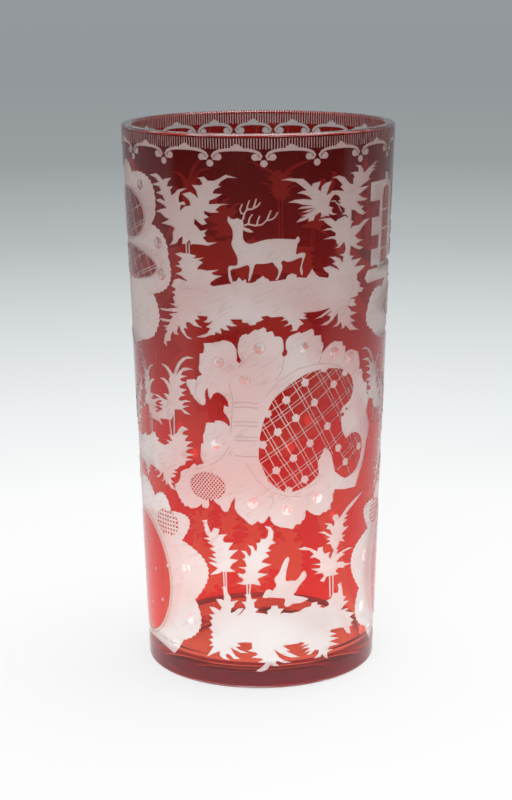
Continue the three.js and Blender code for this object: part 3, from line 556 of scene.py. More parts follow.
@dataclass(frozen=True)
class Lattice:
    """A net of fine cut lines with a star where two rows meet, on ruby that is left standing."""

    TURN = 0.7

    first: Point
    across: Point = (5.2, 3.85)
    along: Point = (4.4, -7.6)
    star: float = 1.2
    line: float = 0.3
    apart: float = 0.9
    reach: int = 9

    def draw(self, on: Drawing, outline: Outline, layer: Layer) -> None:
        """Leaves the ruby of a window standing and cuts the net into it.

        Args:
            on: The drawing to add it to.
            outline: The edge of the window.
            layer: The part of the ruby layer that the window is.
        """
        on.ruby(outline, layer)
        for way, other in ((self.across, self.along), (self.along, self.across)) if self.line else ():
            for k in range(-2 * self.reach, 2 * self.reach + 1):
                s, t = self.first[0] + other[0] * k / 2, self.first[1] + other[1] * k / 2
                ds, dt = way[0] * self.reach, way[1] * self.reach
                for side in (-self.apart / 2, self.apart / 2) if k % 2 else (0.0,):
                    ends = Pen.beside([(s - ds, t - dt), (s + ds, t + dt)], side)
                    self.rule(on, outline, ends, self.line)
        for i in range(-self.reach, self.reach + 1):
            for k in range(-self.reach, self.reach + 1):
                place = (
                    self.first[0] + i * self.across[0] + k * self.along[0],
                    self.first[1] + i * self.across[1] + k * self.along[1],
                )
                if Pen.inside(place, outline):
                    on.matt(self.star_at(place, self.star, self.TURN * i + k))

    @staticmethod
    def rule(on: Drawing, outline: Outline, path: Outline, width: float) -> None:
        """Cuts one line of a net.

        Args:
            on: The drawing to cut it in.
            outline: The window that it is kept to.
            path: The points that it passes through.
            width: Its width.
        """
        for (s0, t0), (s1, t1) in zip(path, path[1:]):
            ds, dt = (s1 - s0) * 0.006, (t1 - t0) * 0.006
            for kept in Pen.clipped((s0 + ds, t0 + dt), (s1 - ds, t1 - dt), outline):
                on.matt(Pen.stroke(kept, width))

    @staticmethod
    def star_at(place: Point, radius: float, turn: float) -> Outline:
        """Draws one star, a disc with blunt points.

        Args:
            place: Its middle.
            radius: How far its points reach.
            turn: The direction of its first notch, in radians.

        Returns:
            Its outline.
        """
        star = []
        for n, (s, t) in enumerate(Pen.disc(place, radius, 10, tilt=turn)):
            share = 1.0 if n % 2 else 0.84
            star.append((place[0] + (s - place[0]) * share, place[1] + (t - place[1]) * share))
        return star


@dataclass(frozen=True)
class HatchedOval:
    """A small oval of ruby crossed by fine cut lines."""

    middle: Point
    radius: float
    ratio: float
    pitch: float
    angles: tuple[float, float]
    layer: Layer
    cut_share: float = 0.36

    def draw(self, on: Drawing) -> None:
        """Leaves the oval standing and hatches it both ways.

        Args:
            on: The drawing to add it to.
        """
        outline = Pen.disc(self.middle, self.radius, 22, self.ratio)
        on.ruby(outline, self.layer)
        rows = int(self.radius / self.pitch) + 1
        for degrees in self.angles:
            a = math.radians(degrees)
            for k in range(-rows, rows + 1):
                s = self.middle[0] - math.sin(a) * k * self.pitch
                t = self.middle[1] + math.cos(a) * k * self.pitch
                ds, dt = math.cos(a) * self.radius * 1.2, math.sin(a) * self.radius * 1.2
                for kept in Pen.clipped((s - ds, t - dt), (s + ds, t + dt), outline):
                    on.matt(Pen.stroke(kept, self.pitch * self.cut_share))


@dataclass(frozen=True)
class Ring:
    """A polished groove round an oval."""

    middle: Point
    radius: float
    ratio: float
    width: float
    parts: int = 6
    steps: int = 9

    def draw(self, on: Drawing) -> None:
        """Cuts the groove in a few stretches that meet.

        Args:
            on: The drawing to cut it in.
        """
        whole = Pen.disc(self.middle, self.radius, self.parts * self.steps, self.ratio)
        whole.append(whole[0])
        for i in range(0, self.parts * self.steps, self.steps):
            on.groove(Pen.stroke(whole[i : i + self.steps + 1], self.width))


@dataclass(frozen=True)
class RimBorder:
    """The border under the rim: upright hatching over arches, with a pearl where two of them meet."""

    top: float = 153.5
    arch_top: float = 151.0
    first: float = 1.3
    pitch: float = 13.47
    narrow: int = 3
    hatch_pitch: float = 0.715
    hatch_width: float = 0.27
    line: float = 0.85
    pearl: float = 0.95
    pearl_at: float = 146.9
    arch_gap: float = 0.65
    hatch_overlap: float = 0.35
    unevenness: float = 0.1
    lean: float = 0.04

    def draw(self, on: Drawing) -> None:
        """Cuts the border right round the glass.

        Args:
            on: The drawing to cut it in.
        """
        whole = int(SHEET_ROUND / self.pitch) - self.narrow + 1
        rest = (SHEET_ROUND - whole * self.pitch) / self.narrow
        s = self.first - self.pitch * (whole // 2)
        start = s
        for i in range(whole + self.narrow):
            across = self.pitch if i < whole else rest
            self.arch(on, s + across / 2, across / 2 - self.arch_gap)
            on.matt(Pen.disc((s, self.pearl_at), self.pearl, 9))
            s += across
        count = round(SHEET_ROUND / self.hatch_pitch)
        for i in range(count):
            at = start + SHEET_ROUND * (i + 0.5) / count
            foot = self.arch_top - self.hatch_overlap + self.unevenness * math.sin(2.7 * i)
            head = (at + self.lean * math.sin(5 * i), self.top)
            on.matt(Pen.stroke([(at, foot), head], self.hatch_width))

    def arch(self, on: Drawing, middle: float, reach: float) -> None:
        """Cuts one arch with its curled ends and the knob on its crown.

        Args:
            on: The drawing to cut it in.
            middle: The place of its crown.
            reach: Half its span.
        """
        top = self.arch_top - self.line / 2
        for side in (-1, 1):
            curl = [
                (middle, top),
                (middle + side * reach * 0.45, top - 0.12),
                (middle + side * reach * 0.72, top - 0.42),
                (middle + side * (reach - 0.6), top - 0.95),
                (middle + side * reach, top - 1.75),
                (middle + side * (reach - 0.35), top - 2.5),
                (middle + side * (reach - 1.3), top - 2.5),
            ]
            on.matt(Pen.stroke(curl, self.line, self.line * 0.8))
            on.matt(Pen.disc((middle + side * (reach - 1.5), top - 2.0), 0.95, 9))
        on.matt(Pen.disc((middle, self.arch_top + 0.35), 0.8, 9, 0.8))
        on.matt(*(Pen.disc((middle + ds, self.arch_top), 0.5, 7) for ds in (-1.0, 1.0)))


# The front of the glass


class Stag:
    """The walking stag with its antlers."""

    BODY: Outline = [
        (-7.7, 133.3), (-7.2, 132.6), (-6.5, 132.3), (-5.3, 132.7), (-4.6, 132.2), (-4.1, 132.4),
        (-3.8, 131), (-4, 129.5), (-4.1, 128), (-3.9, 126.9), (-3.2, 126.1), (-2.2, 125.8), (-0.6, 126.3),
        (1.5, 127), (4, 127.2), (6.5, 127.1), (8.5, 126.9), (9.3, 126.8), (9.6, 127.5), (10, 127.6),
        (10.4, 127), (10.3, 126.2), (9.8, 125.7), (9.6, 124.5), (9.3, 122.7), (10.6, 123.2), (11.7, 123.2),
        (12, 122.6), (11.6, 121.5), (11.2, 120.3), (11, 119.2), (11.3, 118.2), (11.2, 117.2), (10.9, 117.1),
        (10.6, 118), (10.5, 119), (10.9, 120.5), (11.2, 122), (10.2, 121.8), (8.2, 121), (7, 120.9),
        (6.6, 121.3), (5.9, 121.3), (5.5, 120.7), (5.9, 120), (5.9, 119.2), (5.4, 117.8), (4.8, 116.2),
        (4, 116), (4.7, 117.2), (5, 118.6), (4.6, 119.4), (3.9, 120.2), (3.4, 121), (2.4, 120.7),
        (1, 120.5), (-1, 120.6), (-1.4, 119.5), (-1.8, 117.8), (-2.4, 116), (-2.9, 115.8), (-2.6, 117.5),
        (-2.4, 119), (-2.5, 119.9), (-3, 120.3), (-5.5, 119.3), (-7.4, 119), (-7.3, 117.5), (-6.9, 116.3),
        (-6.8, 115.4), (-7.4, 115.4), (-7.9, 116.8), (-8, 119.3), (-7.6, 120), (-5.6, 120), (-5.4, 121.5),
        (-5.7, 122.8), (-6.5, 124.3), (-6.9, 125.3), (-7, 126.2), (-6.6, 127.2), (-6.6, 129.3), (-7, 130.3),
        (-7.6, 131.3), (-8, 131.8),
    ]
    EAR: Outline = [(-4.1, 130.4), (-2.4, 129.9), (-1.2, 128.9), (-2.6, 128.9), (-4.0, 129.5)]
    ANTLERS: tuple[Outline, ...] = (
        [(-4.0, 132.2), (-3.6, 133.9), (-3.0, 134.9), (-2.8, 136.0), (-2.3, 137.4)],
        [(-3.4, 133.8), (-4.4, 133.9), (-4.7, 135.0), (-4.1, 136.4)],
        [(-3.0, 134.9), (-1.6, 135.1), (-0.5, 135.7), (0.4, 136.8)],
        [(-1.4, 135.2), (-1.0, 136.4), (-0.6, 137.8)],
        [
            (-3.8, 130.7), (-2.8, 131.1), (-0.8, 130.7), (0.8, 131), (1.8, 132), (3.2, 132.3), (4, 132.9),
            (4.7, 134.2),
        ],
        [(-2.6, 131.1), (-2.4, 132.5), (-1.6, 133.7)],
        [(-0.5, 130.9), (-0.3, 132.0), (0.2, 133.3)],
        [(2.0, 132.2), (2.5, 133.4), (3.0, 134.7)],
    )

    def draw(self, on: Drawing) -> None:
        """Cuts the stag."""
        on.matt(Pen.rounded(self.BODY), Pen.rounded(self.EAR))
        on.matt(*(Pen.stroke(antler, 0.5, 0.34) for antler in self.ANTLERS))


class Bird:
    """The bird that flies over the lower ground."""

    BODY: Outline = [
        (0.3, 27.4), (0.9, 28.2), (1.3, 29.1), (2, 29.6), (2.9, 29.4), (3.4, 29), (3.9, 29.8), (4.5, 30.5),
        (4.2, 31.4), (3.8, 32.2), (4.1, 33.1), (5, 33.9), (5.7, 35.3), (6.3, 37), (7, 38.2), (7.7, 38.8),
        (8.1, 38.5), (8.2, 37.8), (7.8, 36.5), (7.4, 34.8), (7.2, 33.2), (7.1, 32.2), (7.5, 31.6),
        (8.6, 31.8), (10, 31.5), (11.2, 32.5), (12.2, 34), (12.8, 34.3), (13.4, 33.4), (13.5, 32.4),
        (12.4, 31.2), (11, 29.8), (10.3, 28.4), (9.3, 27.5), (11, 27), (12.8, 26.5), (14.4, 25.8),
        (13, 25.3), (11.8, 24.9), (9.2, 24.9), (8.6, 24.4), (7.6, 24.1), (6.9, 24.5), (6.8, 25.2),
        (7.1, 26), (7, 26.7), (5.2, 26.9), (3, 27.2), (1, 27),
    ]

    def draw(self, on: Drawing) -> None:
        """Cuts the bird."""
        on.matt(Pen.rounded(self.BODY))


class FrontCartouche:
    """The large asymmetric shellwork in the middle of the front, with its lattice window."""

    EDGE: Outline = [
        (-20.9, 87.1), (-20.6, 88), (-18.1, 88.4), (-17.7, 88.1), (-17.1, 89.3), (-15.9, 89.8),
        (-16.6, 90.6), (-16.9, 91.6), (-16.6, 92.9), (-16.4, 95.6), (-15.3, 95.9), (-15, 97.7),
        (-15.2, 98.6), (-12.2, 98.9), (-12.1, 99.1), (-10.3, 99.4), (-10.3, 99.7), (-9, 99.8), (-7.5, 99.3),
        (-6.6, 98.4), (-6.1, 97.2), (-6, 95.5), (-6.1, 94.3), (-5.6, 93.7), (-5.2, 93.7), (-4.8, 94.4),
        (-5.2, 95), (-5.5, 95.6), (-5.8, 96.9), (-5.7, 98.7), (-5.2, 100.5), (-4.4, 101.4), (-3.4, 101.8),
        (-3.1, 101.4), (-2.1, 102.2), (-1.1, 102.9), (-0.6, 102.7), (0.4, 103.1), (1, 103.5), (1.6, 103.1),
        (1.8, 102.1), (3.2, 102.4), (3.6, 101.8), (3.9, 100.9), (5, 100.9), (5.7, 100.6), (6.1, 99.9),
        (6.3, 98.1), (6.3, 97.1), (5.9, 96.2), (6, 95.5), (6.4, 95.3), (7.2, 95.9), (7.3, 96.8),
        (6.9, 97.4), (6.8, 98.7), (7, 99.8), (7.8, 100.8), (9.2, 101.4), (10.6, 101.9), (10.9, 101.4),
        (12.4, 101.9), (14, 102.5), (14.6, 101.9), (14.7, 100.5), (16.7, 100.5), (16.9, 98.7), (17.4, 98.4),
        (17.5, 97.1), (16.9, 95.2), (18.3, 96.8), (19.4, 97.7), (21, 98.4), (22.6, 98.1), (23.7, 98),
        (23.8, 96.8), (24.8, 96.5), (24.8, 94.6), (25.5, 95.1), (27.1, 95.3), (28.9, 94.6), (29.9, 94.1),
        (30.3, 92.6), (30.7, 91.2), (30.6, 89.1), (31.7, 89.1), (32.3, 88), (32.1, 86.8), (33.1, 85.1),
        (34.6, 85), (34.9, 83.7), (34.4, 82.2), (35.7, 80.9), (35.6, 79.4), (34.9, 76.5), (36.5, 73),
        (36.4, 69.5), (35.4, 68), (34.6, 64.5), (33.6, 61.5), (32.4, 59.5), (30.6, 55.6), (26, 55.8),
        (22.4, 56.4), (21.7, 54.8), (21.8, 53.2), (20.9, 52.4), (21.2, 50.9), (20.2, 50.9), (19.4, 50.3),
        (18.5, 50.5), (17.5, 49.7), (15.8, 50), (14.6, 50.7), (13.8, 51.3), (13.3, 51.9), (12.9, 51.3),
        (12.9, 50.2), (12.5, 49), (12, 49), (11.5, 47.9), (10, 47.9), (9.2, 46.6), (7.7, 47.1), (5.8, 47.4),
        (3.9, 48.2), (2.9, 49.4), (2.6, 50.9), (2.1, 50.5), (1.5, 49.6), (0.8, 48.8), (0, 48.8),
        (-0.8, 49.4), (-1.5, 48.8), (-2.5, 48.2), (-3.5, 48.8), (-4.8, 50.1), (-5.4, 50.5), (-6.5, 51.5),
        (-7.3, 53), (-7.2, 54.8), (-7, 56.1), (-7.7, 55.2), (-8.3, 54.2), (-8.7, 52.9), (-9.2, 51.9),
        (-10.2, 51.6), (-11, 52.3), (-11.4, 53.2), (-12.7, 54), (-13.9, 55.2), (-14.8, 54.8), (-14.8, 53.2),
        (-15.2, 52.3), (-16.1, 52.1), (-17.1, 52.5), (-17.1, 53.4), (-17.7, 52.7), (-18.9, 51.9),
        (-20.8, 51.4), (-21.6, 51.9), (-23.1, 51.7), (-23.4, 52.5), (-24.2, 52.5), (-24.3, 53.6),
        (-24.9, 53.6), (-25.4, 54.8), (-26.4, 56.3), (-26.5, 57.3), (-25, 58.4), (-24.2, 59.8), (-24, 61.5),
        (-22.7, 62.3), (-20.8, 63), (-19.8, 64.2), (-18.9, 64.6), (-18.3, 64), (-17.3, 64.6), (-16.1, 64.9),
        (-16.7, 65.7), (-17.1, 67.1), (-16.9, 69.4), (-16.7, 70.4), (-16.1, 70.7), (-16.1, 72.9),
        (-15.6, 74), (-15.2, 75.8), (-15, 76.5), (-13.9, 76.7), (-12.5, 76.8), (-12.4, 77.4), (-11.1, 77.5),
        (-9.9, 77.2), (-9.1, 76.7), (-8.4, 75.9), (-8.2, 76.7), (-8.4, 77.8), (-9.1, 79), (-9.9, 79.9),
        (-9.9, 80.9), (-9.7, 81.8), (-8.5, 81.4), (-8.7, 83), (-9.6, 84.3), (-10.8, 85.1), (-11.8, 85.3),
        (-12.8, 84.7), (-13.2, 83.7), (-13.6, 83.2), (-14.1, 83.9), (-14.3, 85.2), (-14.4, 86.4),
        (-14.9, 85.5), (-15.2, 84.3), (-15, 82.8), (-15.2, 81.6), (-15.8, 81.3), (-16.7, 81.5),
        (-17.8, 82.4), (-18.7, 83.1), (-18.9, 83.8), (-19.6, 84), (-19.7, 84.8), (-20.2, 85.8),
        (-20.9, 86.5),
    ]
    WINDOW: tuple[Tip, ...] = (
        (-0.4, 67), (3.5, 83.4, 0.14), (12.5, 90.1, 0.1), (22, 90.7, 0.12), (28.3, 84.9, 0.35),
        (27.2, 81.2, 0.1), (24.2, 79.4), (24, 75.8, -0.2), (26, 70.4, -0.2), (28.4, 71.6),
        (31.9, 70.3, 0.2), (32.8, 66, 0.2), (26, 59, 0.4), (22.3, 61.6, 0.1), (21.3, 65), (18.6, 69, -0.25),
        (16.4, 65), (16.8, 61.6), (7.5, 57.2, 0.2), (2.2, 60.7, 0.1),
    )
    SINGLE_LINES: tuple[Outline, ...] = (
        [(-1, 77.6), (2, 79.7), (7.1, 83.3), (12.3, 87.8), (17.9, 91.2)],
        [(-1, 69.8), (4.8, 74.5), (9.8, 78.1), (15.1, 82), (21, 86.4), (27, 90.6)],
        [(-1, 60), (4.4, 63.7), (9.2, 66.9), (14, 70.7), (19.3, 74.9), (25, 79.2)],
        [(2, 53.8), (7.9, 57.8), (12.5, 60.6), (17.5, 63.9)],
        [(20, 60), (26, 63.7), (31.5, 67.1), (34, 69)],
        [(0.4, 82.8), (2, 79.7), (4.8, 74.5), (9.2, 66.9), (12.5, 60.6), (14.4, 57)],
        [(5.4, 86.6), (7.1, 83.3), (9.8, 78.1), (14, 70.7), (17.4, 63.4)],
        [(10.6, 91), (12.3, 87.8), (15.1, 82), (19.3, 74.9), (23.2, 68.1), (26, 63.7), (29, 58)],
        [(17.9, 91.2), (21, 86.4), (25.6, 78)], [(24.9, 89.2), (29.2, 82)],
        [(27.6, 73.4), (31.5, 67.1), (33, 63)],
        [(-1.4, 74.4), (0.7, 71), (4.4, 63.7), (7.9, 57.8), (9.4, 55)],
    )
    DOUBLE_LINES: tuple[Outline, ...] = (
        [(-1.4, 74.2), (17.4, 87.6), (22, 90.9)], [(-1.4, 65.3), (28.1, 85.1), (31, 87)],
        [(2.5, 57.9), (16.5, 67), (20.3, 69.2), (25.6, 73.2)], [(24.6, 65.4), (30.3, 69.2), (33, 71)],
        [(4, 85.3), (11.2, 89.2), (14, 91)], [(3.1, 83.9), (14.9, 62.9), (16.9, 60.3)],
        [(8.6, 89), (19.6, 69), (21, 66.4)], [(15.4, 91.2), (23.7, 77), (28.1, 68.3), (32, 61)],
        [(21.8, 90.9), (25.6, 84.5), (27.6, 80.6)], [(-0.4, 78.3), (5.6, 67.3), (12.1, 57.4)],
        [(-1, 66.4), (5.9, 57)],
    )
    STARS: Outline = [
        (12.3, 87.8), (21, 86.4), (7.1, 83.3), (15.1, 82), (2, 79.7), (9.8, 78.1), (4.8, 74.5),
        (19.3, 74.9), (0.7, 71), (14, 70.7), (23.2, 68.1), (9.2, 66.9), (4.4, 63.7), (31.5, 67.1),
        (26, 63.7), (12.5, 60.6), (7.9, 57.8), (17.9, 91.2), (24.9, 89.2),
    ]
    SPOTS: tuple[Triple, ...] = (
        (24.4, 77.4, 0.55), (25.9, 78.8, 0.35), (36.2, 66.2, 1), (35.3, 61.6, 0.9), (22.6, 61.8, 0.5),
    )
    GROOVES: tuple[Outline, ...] = (
        [(-8.4, 88), (-7.4, 84), (-7.6, 79), (-8, 74)], [(-16, 80.8), (-18.2, 84.2), (-17.6, 88.4)],
        [(-5.6, 92.5), (-4.4, 94.2), (-4.8, 96.6)], [(6.5, 94.6), (6, 91.6), (4.2, 88.6)],
        [(-14.6, 64.4), (-11, 66.6), (-8.4, 70.4)], [(2.4, 52.2), (3.6, 54.6), (3.2, 56.6)],
        [(17, 94.6), (16.4, 92.8)], [(24.8, 94), (24.6, 92.4)],
    )
    NECK_GROOVES: Outline = [
        (82.6, 0.2), (81.3, 0.2), (77.3, 0.1), (76.2, 0.1), (73.2, -0.1), (72.2, -0.1), (67.8, -0.2),
    ]
    WINDOW_GROOVE: tuple[Outline, ...] = (
        [(1.5, 84.5), (5, 88.5), (10, 91.6), (15, 92.6), (20, 92.3), (25, 90.2)],
        [(-4, 66), (-1, 61), (3, 57.5), (8, 56), (12, 55.8)],
    )
    BEADS: Outline = [
        (-11.1, 93.7), (-0.1, 97.7), (11.5, 97.6), (21.1, 95.3), (26.9, 93.2), (-4, 89), (-12.2, 70.6),
        (-2.1, 54.5), (7.6, 52.3), (16.6, 54.9),
    ]

    NECK: Triple = (-7.2, -3.8, -0.6)
    PATCH = HatchedOval((-15.2, 58.5), 5.4, 0.74, 0.8, (50, -48), Layer.PATCH_FRONT, 0.42)
    EDGE_LINE, NECK_LINE, FLUTE_LINE = 0.24, 0.32, 0.26
    SINGLE_LINE, DOUBLE_LINE, DOUBLE_SIDE = 0.27, 0.22, 0.46
    STAR = 1.25

    def draw(self, on: Drawing) -> None:
        """Cuts the shellwork, its grooves and hollows, and leaves the window standing.

        Args:
            on: The drawing to add it to.
        """
        on.matt(self.EDGE)
        for path in self.WINDOW_GROOVE:
            on.groove(Pen.stroke(path, self.EDGE_LINE))
        left, middle, right = self.NECK
        for t, sag in self.NECK_GROOVES:
            on.groove(Pen.stroke([(left, t), (middle, t + sag), (right, t - 0.1)], self.NECK_LINE))
        on.groove(*(Pen.stroke(path, self.FLUTE_LINE) for path in self.GROOVES))
        window = Pen.arcs(self.WINDOW)
        on.ruby(window, Layer.WINDOW_FRONT)
        for path in self.SINGLE_LINES:
            Lattice.rule(on, window, path, self.SINGLE_LINE)
        for path in self.DOUBLE_LINES:
            for side in (-self.DOUBLE_SIDE, self.DOUBLE_SIDE):
                Lattice.rule(on, window, Pen.beside(path, side), self.DOUBLE_LINE)
        for i, place in enumerate(self.STARS):
            on.matt(Lattice.star_at(place, self.STAR, Lattice.TURN * i))
        self.PATCH.draw(on)
        for s, t, size in self.SPOTS:
            on.ruby(Pen.disc((s, t), size, 9), Layer.CASING)
        on.bead(*self.BEADS)


class FrontColumn:
    """The front of the glass: the stag in its wood, the shellwork, and the bird over the lower ground."""

    PLANTS = (
        TALL_TREE, WOOD, BUSH, UPPER_GROUND, LOWER_GROUND, LOW_PALM, SECOND_PALM, HIGH_CROWN, LOW_CROWN,
    )
    TWIG: Outline = [(18.8, 136.3), (20.1, 136.3), (21.3, 135), (22.2, 133.3)]

    def draw(self) -> Drawing:
        """Draws the whole column.

        Returns:
            Its drawing, about s = 0.
        """
        on = Drawing()
        for plant in self.PLANTS:
            plant.draw(on)
        on.matt(Pen.stroke(self.TWIG, 0.35))
        Stag().draw(on)
        FrontCartouche().draw(on)
        Bird().draw(on)
        return on


# The other columns


@dataclass(frozen=True)
class SideCartouche:
    """A symmetrical shellwork, drawn as one half about its middle, round a window of ruby."""

    half: tuple[Tip, ...]
    beads: tuple[Point, ...] = ()
    raised: float = 0.0

    def draw(self, on: Drawing) -> None:
        """Cuts both halves and the polished hollows.

        Args:
            on: The drawing to cut it in.
        """
        right = Pen.shifted(Pen.arcs(self.half, teeth=0.45), 0, self.raised)
        on.matt(right, Pen.mirrored(right))
        for s, t in self.beads:
            on.bead((s, t + self.raised), (-s, t + self.raised))


@dataclass(frozen=True)
class OvalWindow:
    """An oval window of ruby with its lattice, set in a polished groove."""

    t: float
    across: float
    ratio: float
    layer: Layer
    groove: float = 0.9
    star: float = 0.55
    line: float = 0.28
    net: tuple[Point, Point] = ((7.0, 2.6), (3.6, -8.2))

    def draw(self, on: Drawing) -> None:
        """Cuts the groove and leaves the window standing.

        Args:
            on: The drawing to add it to.
        """
        gap = self.groove * 0.8
        wide, high = self.across + gap, self.across * self.ratio + gap
        Ring((0, self.t), wide, high / wide, self.groove).draw(on)
        outline = Pen.disc((0, self.t), self.across, 48, self.ratio)
        lattice = Lattice((0.6, self.t - 0.3), *self.net, star=self.star, line=self.line, apart=0.7)
        lattice.draw(on, outline, self.layer)


LOW_HALF: tuple[Tip, ...] = (
    (0, 8), (0, 56), (9.5, 52, 0.35), (17.3, 49.2, 0.75), (21.3, 41.5, 1.3), (25.5, 24.9, 0.8),
    (20.7, 12, 0.6), (16, 6.6, 0.1),
)
HIGH_HALF: tuple[Tip, ...] = (
    (0, 94), (0, 145.5), (5, 142.5, 0.3), (16, 131.4, 0.75), (14.5, 129.3), (20.4, 121.2, 0.4),
    (13.7, 110.4, 0.6), (12.8, 98.2, 0.45), (7, 96.4, 0.1),
)
MIDDLE_HALF: tuple[Tip, ...] = (
    (0, 95.5), (0, 113.4), (9, 112, 0.4), (18, 110.4, 0.5), (26.5, 105.6, 0.5), (24, 99.6, 0.5),
    (12, 97, 0.3),
)
LOW_BEADS: tuple[Point, ...] = ((22.5, 33.6), (23.5, 18.8), (17, 9.8))
LOW_WINDOW = OvalWindow(27.6, 15.6, 1.14, Layer.WINDOW_LEFT_LOW, line=0.0)
LOW_PATCH = HatchedOval((15.4, 45.6), 4.9, 0.78, 1.2, (0, 90), Layer.PATCH_LEFT, 0.52)
HIGH_BEADS: tuple[Point, ...] = ((9.5, 139.6), (16.6, 124.5), (17.6, 116))


class LeftColumn:
    """The left side: a tall shellwork above, palms on their ground, and a low shellwork."""

    MIDDLE = -46.0

    def draw(self) -> Drawing:
        """Draws the column.

        Returns:
            Its drawing, about its own middle.
        """
        on = Drawing()
        SideCartouche(LOW_HALF, LOW_BEADS).draw(on)
        SideCartouche(HIGH_HALF, HIGH_BEADS).draw(on)
        LOW_WINDOW.draw(on)
        OvalWindow(131, 11, 0.62, Layer.WINDOW_LEFT_HIGH, 0.5).draw(on)
        OvalWindow(117.6, 15.6, 0.28, Layer.WINDOW_LEFT_MIDDLE, 0.4).draw(on)
        LOW_PATCH.draw(on)
        UPPER_GROUND.draw(on, (-1, 61), 0.72, 0.8)
        SIDE_GROUND.draw(on, (20, 66))
        SIDE_PALM.draw(on, (19.6, 71.5))
        SIDE_PALM.draw(on, (9.4, 70.5), -0.75, 1.0)
        SECOND_PALM.draw(on, (-3, 68), 1.1, 0.95)
        LOW_PALM.draw(on, (-14, 68), 1.3)
        BUSH.draw(on, (-8, 67.6), 0.8, 0.7)
        return on


class Castle:
    """The castle over the right side: towers with blocks at their corners, gables and windows."""

    WALLS: Outline = [
        (-22, 115.4), (-22, 117), (-25.8, 117), (-25.8, 121.7), (-22, 121.7), (-22, 125.4), (-26, 125.4),
        (-26, 130.4), (-22, 130.4), (-22, 134.8), (-27, 134.8), (-27, 140), (-19, 140), (-19, 142),
        (-16, 142), (-16, 139.6), (-11, 139.6), (-11, 129), (-5, 129), (-5, 133), (-1.5, 136.6), (2, 133),
        (2, 129), (8, 129), (8, 138.6), (11.5, 143), (15, 138.6), (15, 129), (20, 129), (20, 115.4),
    ]
    ROOMS: tuple[tuple[float, float, float, float], ...] = (
        (-17.6, 117.4, 4.8, 19), (-8.4, 118.2, 2.2, 3.4), (-8.4, 123.6, 2.2, 3), (-1.6, 117.2, 3.2, 5.6),
        (-1.6, 125.6, 2.4, 3), (5.2, 118.2, 2.2, 3.4), (5.2, 123.6, 2.2, 3), (11.5, 118.4, 2.6, 3.6),
        (11.5, 125, 2.6, 3.6), (11.5, 132, 2.4, 3.4), (17.6, 118.2, 2, 3.2), (17.6, 123.6, 2, 3),
    )

    def draw(self, on: Drawing) -> None:
        """Cuts the walls and leaves the windows dark.

        Args:
            on: The drawing to add it to.
        """
        on.matt(self.WALLS)
        for s, t, wide, high in self.ROOMS:
            half, top = wide / 2, t + high
            arch = [(s - half, t), (s + half, t), (s + half, top)]
            arch += [(s + half * math.cos(a), top + wide * 0.42 * math.sin(a)) for a in (0.8, 1.6, 2.4)]
            arch.append((s - half, top))
            on.ruby(arch, Layer.CASING)
        for t in (121.2, 126.6, 131.8):
            on.matt(Pen.stroke([(-20.4, t), (-14.9, t)], 0.5))
        on.matt(Pen.stroke([(-17.6, 116.6), (-17.6, 137.0)], 0.5))
        on.groove(*(Pen.stroke([(-10.6, t), (7.6, t)], 0.35) for t in (122.4, 127.8)))


class RightColumn:
    """The right side: the castle, shellwork with a wide window, palms, and a low shellwork."""

    MIDDLE = 60.0

    def draw(self) -> Drawing:
        """Draws the column.

        Returns:
            Its drawing, about its own middle.
        """
        on = Drawing()
        SideCartouche(LOW_HALF, LOW_BEADS).draw(on)
        SideCartouche(MIDDLE_HALF).draw(on)
        replace(LOW_WINDOW, layer=Layer.WINDOW_RIGHT_LOW).draw(on)
        OvalWindow(105, 15, 0.32, Layer.WINDOW_RIGHT_MIDDLE, 0.4).draw(on)
        replace(LOW_PATCH, middle=(-15.4, 45.6), layer=Layer.PATCH_RIGHT).draw(on)
        on.matt([(-27, 112.6), (24, 112.6), (25.6, 114), (24, 116.2), (-27, 116.2), (-28.5, 114.2)])
        BUSH.draw(on, (22, 115.4), 0.6, 0.7)
        Castle().draw(on)
        UPPER_GROUND.draw(on, (1, 61), 0.66, 0.8)
        SIDE_PALM.draw(on, (-20.5, 72), -1.0)
        LOW_PALM.draw(on, (-11, 68), 1.2)
        SIDE_PALM.draw(on, (2, 68.4), 0.8, 0.85)
        SECOND_PALM.draw(on, (14, 68), 1.3)
        return on


class BackColumn:
    """The back: tall palms above a raised shellwork, and palms on their ground below it."""

    MIDDLE = 118.0
    RAISED = 43.0

    def draw(self) -> Drawing:
        """Draws the column.

        Returns:
            Its drawing, about its own middle.
        """
        on = Drawing()
        SideCartouche(LOW_HALF, LOW_BEADS, self.RAISED).draw(on)
        window = replace(LOW_WINDOW, t=LOW_WINDOW.t + self.RAISED, layer=Layer.WINDOW_BACK)
        replace(window, star=2.7, line=0.3, net=((8.6, 2.6), (3.6, -10.2))).draw(on)
        UPPER_GROUND.draw(on, (0, 107))
        LOW_PALM.draw(on, (-24, 114.4), 1.3, 1.2)
        HIGH_CROWN.draw(on, (-13, 128.5), -0.95, 0.85)
        HIGH_CROWN.draw(on, (-14, 128), 0.85, 0.8)
        on.matt(*(Pen.stroke([(s, 112.5), (s + 0.3, 129.5)], 0.42) for s in (-14.3, -13.3)))
        SECOND_PALM.draw(on, (2, 114.4), 1.6, 1.0)
        SIDE_PALM.draw(on, (17, 115), -1.2, 1.15)
        LOWER_GROUND.draw(on, (0, 14))
        LOW_PALM.draw(on, (-15, 21.4), 1.3)
        SECOND_PALM.draw(on, (-5, 21.4), 0.9, 0.8)
        SECOND_PALM.draw(on, (6, 21.4), -1.1, 0.9)
        LOW_CROWN.draw(on, (16, 21.4), 0.9)
        return on


